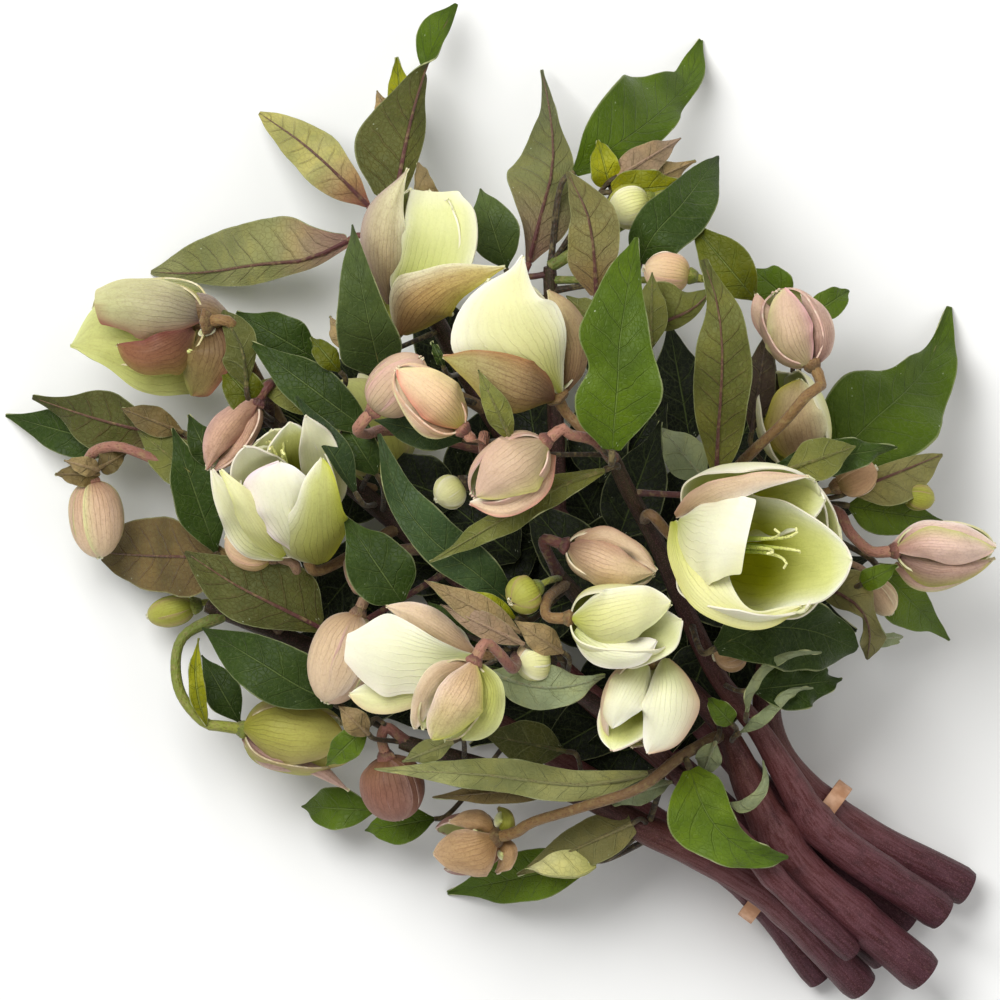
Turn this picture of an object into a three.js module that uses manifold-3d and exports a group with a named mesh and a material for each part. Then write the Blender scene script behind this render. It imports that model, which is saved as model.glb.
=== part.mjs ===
// A tied bunch of cut hellebores lying on a flat surface: stems with their flower and leaf stalks,
// an elastic band, flowers, buds and the larger leaves. Millimetres, +Z up.
import * as THREE from "three";
import { mergeVertices } from "three/addons/utils/BufferGeometryUtils.js";
import Module from "manifold-3d";

// ---- driving dimensions, mm ----
const PLAN_UNIT = 0.3; // one unit of the plan grid, on which places are given as [across, down, height in mm]
const PLAN_MIDDLE = 500; // grid value of the plan's middle, across and down
const ORIGIN = [600.5, 533, 0.4]; // the plan place that is the part's origin, under the middle of its box
const LENGTHWISE = Math.PI / 4; // turns the bunch so that its length lies along X
const SEAT = 0.35; // clearance between a stalk's end and what grows on it
const STALK_RADIUS = 1.7; // a flower stalk
const PETIOLE_RADIUS = 1.0; // a leaf stalk
const LEAF_THICKNESS = 0.9;
const LEAF_FOLD = 0.25; // rise of a blade's edge, as a share of its half width
const BAND_WIDTH = 5;
const BAND_THICKNESS = 1.4;
const STEM_SIDES = 8;
const STALK_SIDES = 6;
const HEAD_SIDES = 10;

const wasm = await Module();
wasm.setup();

const place = ([across, down, height]) =>
  new THREE.Vector3((across - PLAN_MIDDLE) * PLAN_UNIT, (PLAN_MIDDLE - down) * PLAN_UNIT, height);

// ---- geometry ----
// A closed skin over rings of equal count, each ring running anticlockwise seen from the end it leads to.
function loft(rings) {
  const count = rings[0].length;
  const points = rings.flat();
  const faces = [];
  for (let i = 0; i < rings.length - 1; i++)
    for (let j = 0; j < count; j++) {
      const a = i * count + j;
      const b = i * count + ((j + 1) % count);
      faces.push(a, b, b + count, a, b + count, a + count);
    }
  for (const [ring, first] of [[0, true], [rings.length - 1, false]]) {
    const middle = points.length;
    const sum = rings[ring].reduce((total, p) => total.add(p), new THREE.Vector3());
    points.push(sum.divideScalar(count));
    for (let j = 0; j < count; j++) {
      const a = ring * count + j;
      const b = ring * count + ((j + 1) % count);
      if (first) faces.push(middle, b, a);
      else faces.push(middle, a, b);
    }
  }
  const geometry = new THREE.BufferGeometry().setFromPoints(points);
  geometry.setIndex(faces);
  return geometry;
}

// A round tapering shoot along a smooth curve through the places, with one radius for each place.
function shoot(points, radii, sides, stepsPerSpan) {
  const curve = new THREE.CatmullRomCurve3(points);
  const steps = (points.length - 1) * stepsPerSpan;
  const frames = curve.computeFrenetFrames(steps, false);
  const rings = [];
  for (let i = 0; i <= steps; i++) {
    const along = curve.getUtoTmapping(i / steps) * (radii.length - 1);
    const k = Math.min(Math.floor(along), radii.length - 2);
    const radius = THREE.MathUtils.lerp(radii[k], radii[k + 1], along - k);
    const centre = curve.getPointAt(i / steps);
    rings.push(Array.from({ length: sides }, (_, j) => {
      const turn = (2 * Math.PI * j) / sides;
      return centre.clone()
        .addScaledVector(frames.normals[i], radius * Math.cos(turn))
        .addScaledVector(frames.binormals[i], radius * Math.sin(turn));
    }));
  }
  return { geometry: loft(rings), curve };
}

function solidOf(geometry) {
  const bare = geometry.clone();
  bare.deleteAttribute("normal");
  bare.deleteAttribute("uv");
  const merged = mergeVertices(bare, 1e-3);
  return new wasm.Manifold(new wasm.Mesh({
    numProp: 3,
    vertProperties: merged.attributes.position.array,
    triVerts: new Uint32Array(merged.index.array),
  }));
}

function geometryOf(solid) {
  const mesh = solid.getMesh();
  const geometry = new THREE.BufferGeometry();
  geometry.setAttribute("position", new THREE.BufferAttribute(mesh.vertProperties, 3));
  geometry.setIndex(new THREE.BufferAttribute(mesh.triVerts, 1));
  return geometry;
}

// A head stands on its base place and points at its tip place. Its outline gives [share of the length,
// share of the widest radius] from the base up; an open head ends in a dish between its rim and its axis.
const OUTLINES = {
  bud: [[0, 0], [0, 0.2], [0.12, 0.62], [0.35, 0.97], [0.6, 0.97], [0.85, 0.55], [1, 0]],
  bell: [[0, 0], [0, 0.14], [0.14, 0.6], [0.4, 0.93], [0.72, 1], [1, 0.86], [0.8, 0.6], [0.5, 0]],
  cup: [[0, 0], [0, 0.12], [0.12, 0.55], [0.35, 0.86], [0.7, 1], [1, 0.98], [0.7, 0.8], [0.3, 0]],
};

function head({ base, tip, width, outline }) {
  const from = place(base);
  const axis = place(tip).sub(from);
  const length = axis.length();
  axis.normalize();
  const profile = OUTLINES[outline].map(([rise, spread]) =>
    new THREE.Vector2((spread * width) / 2, SEAT + rise * (length - SEAT)));
  const geometry = new THREE.LatheGeometry(profile, HEAD_SIDES);
  const turn = new THREE.Quaternion().setFromUnitVectors(new THREE.Vector3(0, 1, 0), axis);
  geometry.applyQuaternion(turn);
  geometry.translate(from.x, from.y, from.z);
  return geometry;
}

// A leaf blade along a bowed midrib from its base to its tip: folded up along the midrib, and rolled about it.
// The width shares run from base to tip.
const BLADE_WIDTHS = [0.1, 0.34, 0.72, 0.98, 1, 0.84, 0.52, 0.06];
const UPPER_FACE = 0.96; // width of a blade's upper face, as a share of its lower face's
const EDGE_THICKNESS = 0.6; // thickness at a blade's edge, as a share of its middle's

function midrib({ base, tip, bow = 8 }) {
  const from = place(base);
  const to = place(tip);
  const middle = from.clone().add(to).multiplyScalar(0.5);
  middle.z += bow;
  return new THREE.QuadraticBezierCurve3(from, middle, to);
}

function blade(leaf) {
  const { width, roll = 0 } = leaf;
  const curve = midrib(leaf);
  const length = curve.getLength();
  const last = BLADE_WIDTHS.length - 1;
  const rings = BLADE_WIDTHS.map((share, i) => {
    const along = Math.max(i / last, SEAT / length);
    const centre = curve.getPointAt(along);
    const forward = curve.getTangentAt(along);
    const side = new THREE.Vector3(0, 0, 1).cross(forward).normalize();
    const up = forward.clone().cross(side);
    side.applyAxisAngle(forward, THREE.MathUtils.degToRad(roll));
    up.applyAxisAngle(forward, THREE.MathUtils.degToRad(roll));
    const half = (share * width) / 2;
    const at = (sideways, upwards) =>
      centre.clone().addScaledVector(side, sideways).addScaledVector(up, upwards);
    const lift = half * LEAF_FOLD;
    const thick = Math.min(LEAF_THICKNESS, half);
    const upperHalf = half * UPPER_FACE;
    const upperLift = lift + thick * EDGE_THICKNESS;
    return [
      at(-half, lift), at(0, -thick / 2), at(half, lift),
      at(upperHalf, upperLift), at(0, thick / 2), at(-upperHalf, upperLift),
    ];
  });
  return loft(rings);
}

// ---- stems ----
// Each route runs from the cut end to the growing end. Each stop is [across, down, height, radius].
const STEMS = {
  stem_right: [[970, 891, 8, 6], [829, 812, 22, 5.8], [772, 738, 31, 4.6], [772, 640, 35, 3.4],
    [790, 545, 38, 3], [790, 492, 41, 2.6]],
  stem_upper: [[945, 917, 20, 5.8], [817, 825, 36, 5.6], [795, 790, 40, 4.8], [761, 733, 46, 3.2],
    [720, 680, 53, 3], [690, 620, 60, 2.8], [655, 540, 72, 2.6], [625, 485, 86, 2.4], [612, 455, 93, 2.2]],
  stem_front: [[927, 977, 18, 6.6], [793, 858, 34.4, 6.3], [752, 790, 41, 5.4], [728, 735, 46, 3.4],
    [690, 690, 51, 3], [630, 645, 60, 2.8], [585, 605, 70, 2.6], [556, 572, 80, 2.2]],
  stem_left: [[864, 989, 14, 5.8], [771, 895, 32.6, 5.7], [700, 853, 36, 5.5], [650, 832, 38, 4.6],
    [590, 800, 40, 3.2], [500, 772, 42, 2.8], [400, 742, 45, 2.4]],
  stem_thin: [[853, 954, 29.2, 3.8], [776, 880, 46, 3.6], [722, 818, 50, 3.2], [640, 740, 58, 2.8],
    [560, 680, 76, 2.5], [512, 652, 87, 2.2]],
  stem_low: [[822, 982, 5, 4.6], [762, 903, 15, 4.5], [690, 845, 19, 4.2], [590, 780, 22, 3.6],
    [470, 710, 23, 3.2], [330, 655, 24, 2.8], [205, 606, 28, 2.2]],
  stem_rear_top: [[912, 925, 5.6, 5.3], [806, 842, 19, 5.2], [740, 765, 27, 4.6], [640, 650, 33, 3.8],
    [560, 520, 36, 3.4], [470, 380, 37, 3], [410, 270, 38, 2.6], [390, 222, 40, 2.2]],
  stem_rear_left: [[887, 960, 5.6, 5.3], [785, 871, 18.5, 5.2], [700, 788, 24, 4.6], [580, 688, 27, 3.8],
    [440, 560, 30, 3.3], [330, 468, 33, 2.9], [258, 408, 38, 2.3]],
};
// A second growing tip that one rear stem carries, which starts at this share of its length.
const FORK = { stem: "stem_rear_top", at: 0.62,
  route: [[556, 420, 40, 2.6], [552, 330, 44, 2.4], [550, 266, 47, 2.2]] };

// ---- heads: base and tip, width, the stem each grows on and the share of its length it leaves at ----
const HEADS = {
  flower_far_left: { base: [198, 322, 48], tip: [90, 320, 36], width: 36, outline: "bell",
    on: "stem_rear_left", at: 0.96, via: [[236, 352, 44]] },
  flower_top_left: { base: [396, 330, 60], tip: [428, 205, 74], width: 37, outline: "bell",
    on: "stem_rear_top", at: 0.76, via: [] },
  flower_top_middle: { base: [552, 398, 98], tip: [498, 300, 116], width: 34, outline: "bell",
    on: "stem_upper", at: 0.985, via: [[578, 425, 96]] },
  flower_left: { base: [303, 552, 54], tip: [282, 462, 77], width: 37, outline: "cup",
    on: "stem_rear_left", at: 0.78, via: [] },
  flower_open: { base: [690, 540, 86], tip: [790, 546, 112], width: 46, outline: "cup",
    on: "stem_upper", at: 0.86, via: [[652, 515, 86]] },
  flower_right: { base: [893, 550, 56], tip: [994, 546, 52], width: 22, outline: "bud",
    on: "stem_right", at: 0.97, via: [[838, 512, 47], [850, 532, 52], [866, 548, 55]] },
  flower_cream: { base: [472, 655, 82], tip: [370, 652, 83], width: 28, outline: "bell",
    on: "stem_thin", at: 0.94, via: [] },
  flower_low_left: { base: [243, 730, 33], tip: [344, 756, 23], width: 26, outline: "bell",
    on: "stem_low", at: 0.97, via: [[180, 640, 30], [178, 690, 32], [205, 724, 34]] },
  flower_behind: { base: [806, 462, 50], tip: [782, 385, 62], width: 24, outline: "bell",
    on: "stem_right", at: 0.99, via: [] },
  flower_nodding: { base: [476, 664, 110], tip: [436, 730, 111], width: 24, outline: "bell",
    on: "stem_thin", at: 0.985, via: [[498, 652, 104]] },
  flower_tulip: { base: [572, 616, 101], tip: [664, 632, 106], width: 24, outline: "bell",
    on: "stem_front", at: 0.97, via: [[550, 604, 94]] },
  flower_lower: { base: [650, 664, 86], tip: [634, 742, 88], width: 27, outline: "bell",
    on: "stem_front", at: 0.72, via: [] },
  flower_bottom: { base: [497, 838, 40], tip: [444, 848, 30], width: 21, outline: "bell",
    on: "stem_front", at: 0.56, via: [[682, 756, 59], [640, 788, 63], [580, 808, 57], [530, 822, 48]] },
  bud_left: { base: [250, 402, 54], tip: [203, 462, 49], width: 14, outline: "bud",
    on: "stem_rear_left", at: 0.985, via: [] },
  bud_outer_left: { base: [92, 482, 28], tip: [97, 556, 24], width: 15, outline: "bud",
    on: "stem_rear_left", at: 0.995, via: [[184, 464, 40], [114, 446, 38]] },
  bud_small_left: { base: [193, 606, 16], tip: [148, 616, 13], width: 9, outline: "bud",
    on: "stem_low", at: 0.96, via: [] },
  bud_upper_pair: { base: [424, 362, 98], tip: [374, 412, 92], width: 15, outline: "bud",
    on: "stem_rear_top", at: 0.7, via: [] },
  bud_peach: { base: [464, 428, 108], tip: [402, 372, 110], width: 18, outline: "bud",
    on: "stem_rear_top", at: 0.64, via: [[484, 452, 98], [486, 432, 106]] },
  bud_centre: { base: [546, 444, 116], tip: [478, 494, 114], width: 20, outline: "bud",
    on: "stem_upper", at: 0.99, via: [[592, 440, 108], [568, 434, 115]] },
  bud_lilac: { base: [814, 366, 78], tip: [776, 296, 71], width: 22, outline: "bud",
    on: "stem_right", at: 0.98, via: [[738, 472, 64], [752, 452, 74], [782, 424, 80], [806, 398, 83]] },
  bud_far_right: { base: [838, 486, 50], tip: [874, 468, 50], width: 11, outline: "bud",
    on: "stem_right", at: 0.985, via: [] },
  bud_round: { base: [358, 606, 60], tip: [330, 694, 56], width: 18, outline: "bud",
    on: "stem_rear_left", at: 0.74, via: [[350, 560, 50], [362, 588, 60]] },
  bud_middle: { base: [566, 546, 92], tip: [650, 574, 93], width: 18, outline: "bud",
    on: "stem_front", at: 0.99, via: [] },
  bud_low: { base: [388, 754, 44], tip: [398, 816, 37], width: 17, outline: "bud",
    on: "stem_left", at: 0.985, via: [[388, 728, 47]] },
  flower_under: { base: [392, 474, 21], tip: [338, 384, 16], width: 27, outline: "bell",
    on: "stem_rear_left", at: 0.86, via: [] },
  bud_small_middle: { base: [535, 588, 92], tip: [512, 600, 96], width: 11, outline: "bud",
    on: "stem_front", at: 0.985, via: [] },
};

// ---- leaves ----
const LEAVES = {
  leaf_top_tall: { base: [392, 200, 42], tip: [455, 6, 12], width: 17, on: "stem_rear_top", at: 0.99, roll: 35 },
  leaf_top_red_rib: { base: [366, 208, 41], tip: [258, 112, 8], width: 15, on: "stem_rear_top", at: 0.98 },
  leaf_top_left: { base: [346, 246, 38], tip: [152, 270, 0.6], width: 18, on: "stem_rear_top", at: 0.955 },
  leaf_lance: { base: [379, 352, 78], tip: [350, 224, 82], width: 18, bow: 12, on: "stem_rear_top", at: 0.77,
    roll: -12 },
  leaf_top_middle: { base: [531, 258, 47], tip: [541, 70, 6], width: 20, on: "fork", at: 0.97 },
  leaf_top_right: { base: [580, 172, 48], tip: [702, 40, 0.65], width: 24, on: "fork", at: 0.99 },
  leaf_dark_top: { base: [640, 264, 62], tip: [719, 156, 40], width: 20, on: "fork", at: 0.9 },
  leaf_brown_back: { base: [598, 296, 76], tip: [569, 174, 70], width: 17, on: "fork", at: 0.8 },
  leaf_big_centre: { base: [614, 448, 114], tip: [636, 240, 110], width: 26, on: "stem_upper", at: 0.995 },
  leaf_long_olive: { base: [718, 478, 82], tip: [706, 264, 92], width: 18, on: "stem_upper", at: 0.92 },
  leaf_big_right: { base: [832, 474, 44], tip: [952, 306, 0.75], width: 32, on: "stem_right", at: 0.985 },
  leaf_blue_long: { base: [520, 612, 84], tip: [380, 434, 88], width: 12, on: "stem_front", at: 0.96 },
  leaf_curled: { base: [600, 476, 96], tip: [432, 562, 99], width: 11, on: "stem_upper", at: 0.97 },
  leaf_dark_left: { base: [334, 700, 48], tip: [205, 628, 36], width: 17, on: "stem_left", at: 0.95 },
  leaf_broad_left: { base: [320, 606, 47], tip: [187, 570, 42], width: 22, on: "stem_rear_left", at: 0.7 },
  leaf_brown_left: { base: [238, 560, 40], tip: [97, 540, 7], width: 23, bow: 3, on: "stem_low", at: 0.95 },
  leaf_outer_left: { base: [188, 440, 34], tip: [30, 396, 13], width: 17, on: "stem_rear_left", at: 0.99 },
  leaf_far_left: { base: [130, 450, 20], tip: [5, 415, 0.6], width: 14, on: "stem_rear_left", at: 0.975 },
  leaf_wavy_dark: { base: [716, 652, 74], tip: [842, 640, 62], width: 24, on: "stem_upper", at: 0.66 },
  leaf_over_stems: { base: [700, 782, 61], tip: [788, 857, 51], width: 21, on: "stem_thin", at: 0.46 },
  leaf_wavy_low: { base: [648, 774, 56], tip: [374, 772, 61], width: 12, on: "stem_left", at: 0.52 },
  leaf_bottom: { base: [598, 862, 28], tip: [450, 894, 0.6], width: 15, on: "stem_left", at: 0.5 },
  leaf_low_left: { base: [374, 812, 22], tip: [302, 808, 7], width: 13, on: "stem_left", at: 0.93 },
  leaf_right_bright: { base: [890, 576, 38], tip: [951, 640, 6], width: 15, on: "stem_right", at: 0.95 },
  leaf_right_upper: { base: [850, 506, 42], tip: [944, 521, 28], width: 12, bow: 4, on: "stem_right", at: 0.975 },
};

// ---- assembly ----
const COLOURS = {
  stem: { color: 0x5a3f42, roughness: 0.6, metalness: 0 },
  band: { color: 0xc99a7c, roughness: 0.7, metalness: 0 },
  flower: { color: 0xe4e8bc, roughness: 0.55, metalness: 0 },
  bud: { color: 0xd2b096, roughness: 0.55, metalness: 0 },
  leaf: { color: 0x3f5a24, roughness: 0.5, metalness: 0 },
};

const bunch = new THREE.Group();

function add(name, geometry, colour) {
  const mesh = new THREE.Mesh(geometry, new THREE.MeshStandardMaterial(COLOURS[colour]));
  mesh.name = name;
  bunch.add(mesh);
}

const growing = {};
for (const [name, route] of Object.entries(STEMS)) {
  const made = shoot(route.map(place), route.map((stop) => stop[3]), STEM_SIDES, 2);
  growing[name] = { solids: [solidOf(made.geometry)], curve: made.curve };
}
const forkStart = growing[FORK.stem].curve.getPointAt(FORK.at);
const forkRadius = FORK.route[0][3];
const fork = shoot([forkStart, ...FORK.route.map(place)], [forkRadius, ...FORK.route.map((stop) => stop[3])],
  STALK_SIDES, 2);
growing[FORK.stem].solids.push(solidOf(fork.geometry));
growing.fork = { solids: growing[FORK.stem].solids, curve: fork.curve };

// A stalk leaves its stem's middle line, passes its own places and ends in line with what it carries.
const STALK_LEAD = 4; // length of a stalk's last stretch, in its own radii
const LEAF_AIM = 0.3; // a leaf stalk points at this share of its leaf's midrib
function stalk(carrier, at, via, base, aim, radius) {
  const end = place(base);
  const lead = end.clone().sub(aim).setLength(radius * STALK_LEAD);
  const points = [growing[carrier].curve.getPointAt(at), ...via.map(place)];
  points.push(end.clone().add(lead), end);
  growing[carrier].solids.push(solidOf(shoot(points, points.map(() => radius), STALK_SIDES, 2).geometry));
}

for (const [name, spec] of Object.entries(HEADS)) {
  add(name, head(spec), spec.outline === "bud" ? "bud" : "flower");
  stalk(spec.on, spec.at, spec.via, spec.base, place(spec.tip), STALK_RADIUS);
}
for (const [name, spec] of Object.entries(LEAVES)) {
  add(name, blade(spec), "leaf");
  stalk(spec.on, spec.at, [], spec.base, midrib(spec).getPoint(LEAF_AIM), PETIOLE_RADIUS);
}
for (const name of Object.keys(STEMS))
  add(name, geometryOf(wasm.Manifold.union(growing[name].solids)), "stem");

// The band is one closed loop round the rear stems, just below the front ones.
const BAND_PLACE = [795, 855];
const BAND_STOPS = 40;
const BAND_LINE = [
  // [across the bundle, height], anticlockwise seen from the cut ends
  [-17.5, 9], [-6, 11.6], [5.1, 12.8], [16.4, 15], [22, 16.6], [24.8, 22.4], [22.6, 28.2], [16.6, 29.7],
  [5.1, 25.3], [-5.6, 24.7], [-17.3, 20.5], [-21.6, 19], [-23.4, 15], [-22.2, 10.6],
];
const alongBundle = new THREE.Vector3(0.8, -0.6, 0);
const acrossBundle = new THREE.Vector3(0.6, 0.8, 0);
const bandLine = new THREE.CatmullRomCurve3(
  BAND_LINE.map(([sideways, height]) => place([...BAND_PLACE, height]).addScaledVector(acrossBundle, sideways)),
  true);
const bandStops = bandLine.getSpacedPoints(BAND_STOPS).slice(0, -1);
const bandMiddle = bandStops.reduce((sum, p) => sum.add(p), new THREE.Vector3()).divideScalar(bandStops.length);
const bandRings = bandStops.map((inner) => {
  const out = inner.clone().sub(bandMiddle).projectOnPlane(alongBundle).setLength(BAND_THICKNESS);
  const half = alongBundle.clone().multiplyScalar(BAND_WIDTH / 2);
  const outer = inner.clone().add(out);
  return [inner.clone().sub(half), inner.clone().add(half), outer.clone().add(half), outer.clone().sub(half)];
});
const bandPoints = bandRings.flat();
const bandFaces = [];
bandRings.forEach((_, i) => {
  const here = i * 4;
  const next = ((i + 1) % bandRings.length) * 4;
  for (let j = 0; j < 4; j++) {
    const k = (j + 1) % 4;
    bandFaces.push(here + j, here + k, next + k, here + j, next + k, next + j);
  }
});
const band = new THREE.BufferGeometry().setFromPoints(bandPoints);
band.setIndex(bandFaces);
add("elastic_band", band, "band");

bunch.position.copy(place(ORIGIN)).negate();
const part = new THREE.Group();
part.rotation.z = LENGTHWISE;
part.add(bunch);

export default part;
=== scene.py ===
"""A tied bunch of cut hellebores lying on a pale floor: stems and stalks, band, leaves, open heads and buds."""
import math
import random

import bmesh
import bpy
from mathutils import Matrix, Vector, noise


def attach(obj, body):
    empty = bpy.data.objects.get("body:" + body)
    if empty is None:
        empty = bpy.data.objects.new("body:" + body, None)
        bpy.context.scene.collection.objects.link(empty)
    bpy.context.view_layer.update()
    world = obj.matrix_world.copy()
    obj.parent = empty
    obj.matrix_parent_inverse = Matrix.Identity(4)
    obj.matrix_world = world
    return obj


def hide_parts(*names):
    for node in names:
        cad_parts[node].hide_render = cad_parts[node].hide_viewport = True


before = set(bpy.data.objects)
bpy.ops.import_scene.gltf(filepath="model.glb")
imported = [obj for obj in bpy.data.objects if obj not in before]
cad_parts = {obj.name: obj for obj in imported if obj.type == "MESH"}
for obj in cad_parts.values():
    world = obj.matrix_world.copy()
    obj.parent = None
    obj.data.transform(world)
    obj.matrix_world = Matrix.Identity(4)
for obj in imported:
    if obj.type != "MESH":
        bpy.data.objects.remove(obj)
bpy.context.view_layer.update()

# ---- Stems and their stalks ----
# Eight cut hellebore stems, woody and purple-brown below, greener where they carry the heads. Flower and
# leaf stalks grow out of them. They grew in one piece, so each stem is one object with all its stalks.
PLAN_UNIT = 0.3  # mm for one unit of the plan grid, on which places are [across, down, height in mm]
ORIGIN = (600.5, 533, 0.4)
VIEW_TURN = math.pi / 4  # the plan lies turned by this in the bunch's frame
SETTLE = Matrix.Rotation(VIEW_TURN, 4, "Z") @ Matrix.Scale(0.001, 4)  # plan millimetres to the bunch's frame
UP = Vector((0, 0, 1))
LINE_STEPS = 14  # points on a line from one stop to the next
SMOOTH_ANGLE = math.radians(55)


def place(stop):
    """A plan place as millimetres from the bunch's origin."""
    return Vector(((stop[0] - ORIGIN[0]) * PLAN_UNIT, (ORIGIN[1] - stop[1]) * PLAN_UNIT, stop[2] - ORIGIN[2]))


def colour(code, alpha=1.0):
    """An sRGB hex colour as linear red, green, blue and alpha."""
    parts = [int(code[i:i + 2], 16) / 255 for i in (0, 2, 4)]
    return [c / 12.92 if c <= 0.04045 else ((c + 0.055) / 1.055) ** 2.4 for c in parts] + [alpha]


def step_of(values, share):
    """The step that a share of the way through a row falls in, and how far through that step it is."""
    spot = min(max(share, 0.0), 0.9999) * (len(values) - 1)
    return int(spot), spot - int(spot)


def blend(shades, share):
    """The colour at a share of the way through a row of colours."""
    k, part = step_of(shades, share)
    return [a + (b - a) * part for a, b in zip(shades[k], shades[k + 1])]


def level(values, share):
    """The value at a share of the way through a row of values, eased between them."""
    k, t = step_of(values, share)
    before, after = values[max(k - 1, 0)], values[min(k + 2, len(values) - 1)]
    a, b = values[k], values[k + 1]
    return a + 0.5 * t * (b - before + t * (2 * before - 5 * a + 4 * b - after + t * (3 * (a - b) + after - before)))


class Line:
    """A smooth line through places, read by the share of its length."""

    def __init__(self, stops, steps=LINE_STEPS):
        ends = [stops[0] * 2 - stops[1]] + list(stops) + [stops[-1] * 2 - stops[-2]]
        self.points = [stops[0]]
        for k in range(len(stops) - 1):
            a, b, c, d = ends[k:k + 4]
            da, db, dc = [max((q - p).length ** 0.5, 1e-4) for p, q in ((a, b), (b, c), (c, d))]
            start = ((b - a) / da - (c - a) / (da + db) + (c - b) / db) * db
            stop = ((c - b) / db - (d - b) / (db + dc) + (d - c) / dc) * db
            for i in range(1, steps + 1):
                t = i / steps
                self.points.append(b + start * t + (c * 3 - b * 3 - start * 2 - stop) * t ** 2
                                   + (b * 2 - c * 2 + start + stop) * t ** 3)
        self.lengths = [0.0]
        for p, q in zip(self.points, self.points[1:]):
            self.lengths.append(self.lengths[-1] + (q - p).length)
        self.length = self.lengths[-1]

    def at(self, share):
        """The place and the direction at a share of the length."""
        want = min(max(share, 0.0), 1.0) * self.length
        low, high = 0, len(self.lengths) - 1
        while high - low > 1:
            middle = (low + high) // 2
            if self.lengths[middle] <= want:
                low = middle
            else:
                high = middle
        span = self.points[high] - self.points[low]
        part = (want - self.lengths[low]) / max(self.lengths[high] - self.lengths[low], 1e-6)
        ahead = self.points[min(high + 1, len(self.points) - 1)] - self.points[low]
        behind = self.points[high] - self.points[max(low - 1, 0)]
        return self.points[low] + span * part, behind.lerp(ahead, part).normalized()


def material(name, **constants):
    """A new material with its shader and the settings that are the same all over."""
    made = bpy.data.materials.new(name)
    made.use_nodes = True
    shader = made.node_tree.nodes["Principled BSDF"]
    for key, value in constants.items():
        shader.inputs[key.replace("_", " ")].default_value = value
    return made, made.node_tree, shader


def add(tree, kind, inputs=None, out=0, **settings):
    """A new node with its settings, and its inputs as values or links. Gives the output that is read from it."""
    made = tree.nodes.new("ShaderNode" + kind)
    for key, value in settings.items():
        setattr(made, key, value)
    for key, value in (inputs or {}).items():
        if isinstance(value, bpy.types.NodeSocket):
            tree.links.new(value, made.inputs[key])
        else:
            made.inputs[key].default_value = value
    return made.outputs[out]


def coat(tree, under, pattern, low, high, most, over, way="MIX"):
    """A colour laid over another: none of it where the pattern is at low, and its most where it is at high."""
    rise = add(tree, "MapRange", {"Value": pattern, "From Min": low, "From Max": high},
               interpolation_type="SMOOTHSTEP")
    share = add(tree, "Math", {0: rise, 1: most}, operation="MULTIPLY")
    return add(tree, "Mix", {0: share, 6: under, 7: over}, 2, data_type="RGBA", blend_type=way)


def emboss(tree, shader, depth, *patterns):
    """Relief of a real depth in metres, from patterns that each have their share of it."""
    height = 0.0
    for pattern, share in patterns:
        height = add(tree, "Math", {0: pattern, 1: share, 2: height}, operation="MULTIPLY_ADD")
    bump = add(tree, "Bump", {"Height": height, "Distance": depth, "Strength": 1.0})
    tree.links.new(bump, shader.inputs["Normal"])


# Woody hellebore stem skin, grown and dried: satin, streaked along its length, with pale pores and scars.
bark, tree, shader = material("hellebore stem skin", Roughness=0.5, IOR=1.4, Specular_IOR_Level=0.4)
grain = add(tree, "Attribute", out="Vector", attribute_name="grain")  # millimetres on the skin
tint = add(tree, "VertexColor", layer_name="over")
drawn_out = add(tree, "Mapping", {0: grain, "Scale": (1.25, 1.25, 0.11)})  # streaks 0.8 mm wide and 9 mm long
streaks = add(tree, "TexNoise", {"Vector": drawn_out, "Scale": 1.0, "Detail": 4.0, "Roughness": 0.6})
blotches = add(tree, "TexNoise", {"Vector": grain, "Scale": 0.22, "Detail": 3.0})  # 4.5 mm across
oval = add(tree, "Mapping", {0: grain, "Scale": (1.0, 1.0, 0.55)})
pore = add(tree, "TexVoronoi", {"Vector": oval, "Scale": 0.75, "Randomness": 1.0})  # one in about 1.3 mm
chance = add(tree, "SeparateColor", {0: pore.node.outputs["Color"]})
near, chosen = [
    add(tree, "MapRange", {"Value": value, "From Min": low, "From Max": high}, interpolation_type="SMOOTHSTEP")
    for value, low, high in ((pore, 0.26, 0.12), (chance, 0.62, 0.7))]
pores = add(tree, "Math", {0: near, 1: chosen}, operation="MULTIPLY")
pores = add(tree, "Math", {0: pores, 1: 0.12}, operation="MULTIPLY")
grit = add(tree, "TexNoise", {"Vector": grain, "Scale": 2.6, "Detail": 3.0, "Roughness": 0.65})  # 0.4 mm
skin = coat(tree, tint, streaks, 0.3, 0.7, 1.0, colour("8a6258"), "OVERLAY")
skin = coat(tree, skin, blotches, 0.5, 0.75, 0.45, colour("331b1e"))
skin = coat(tree, skin, grit, 0.48, 0.7, 0.42, colour("8a5860"))
skin = add(tree, "Mix", {0: pores, 6: skin, 7: colour("a07a6c")}, 2, data_type="RGBA")
tree.links.new(skin, shader.inputs["Base Color"])
gloss = add(tree, "MapRange", {"Value": streaks, "To Min": 0.34, "To Max": 0.62})
tree.links.new(gloss, shader.inputs["Roughness"])
emboss(tree, shader, 0.0003, (streaks, 0.8), (grit, 0.5))

# Young stalk skin: softer and duller, speckled with fine short hairs that catch the light at the edges.
stalk_skin, tree, shader = material("speckled stalk skin", Roughness=0.6, IOR=1.42, Sheen_Weight=0.16,
                                    Sheen_Roughness=0.4)
grain = add(tree, "Attribute", out="Vector", attribute_name="grain")
tint = add(tree, "VertexColor", layer_name="over")
oval = add(tree, "Mapping", {0: grain, "Scale": (1.0, 1.0, 0.5)})
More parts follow.
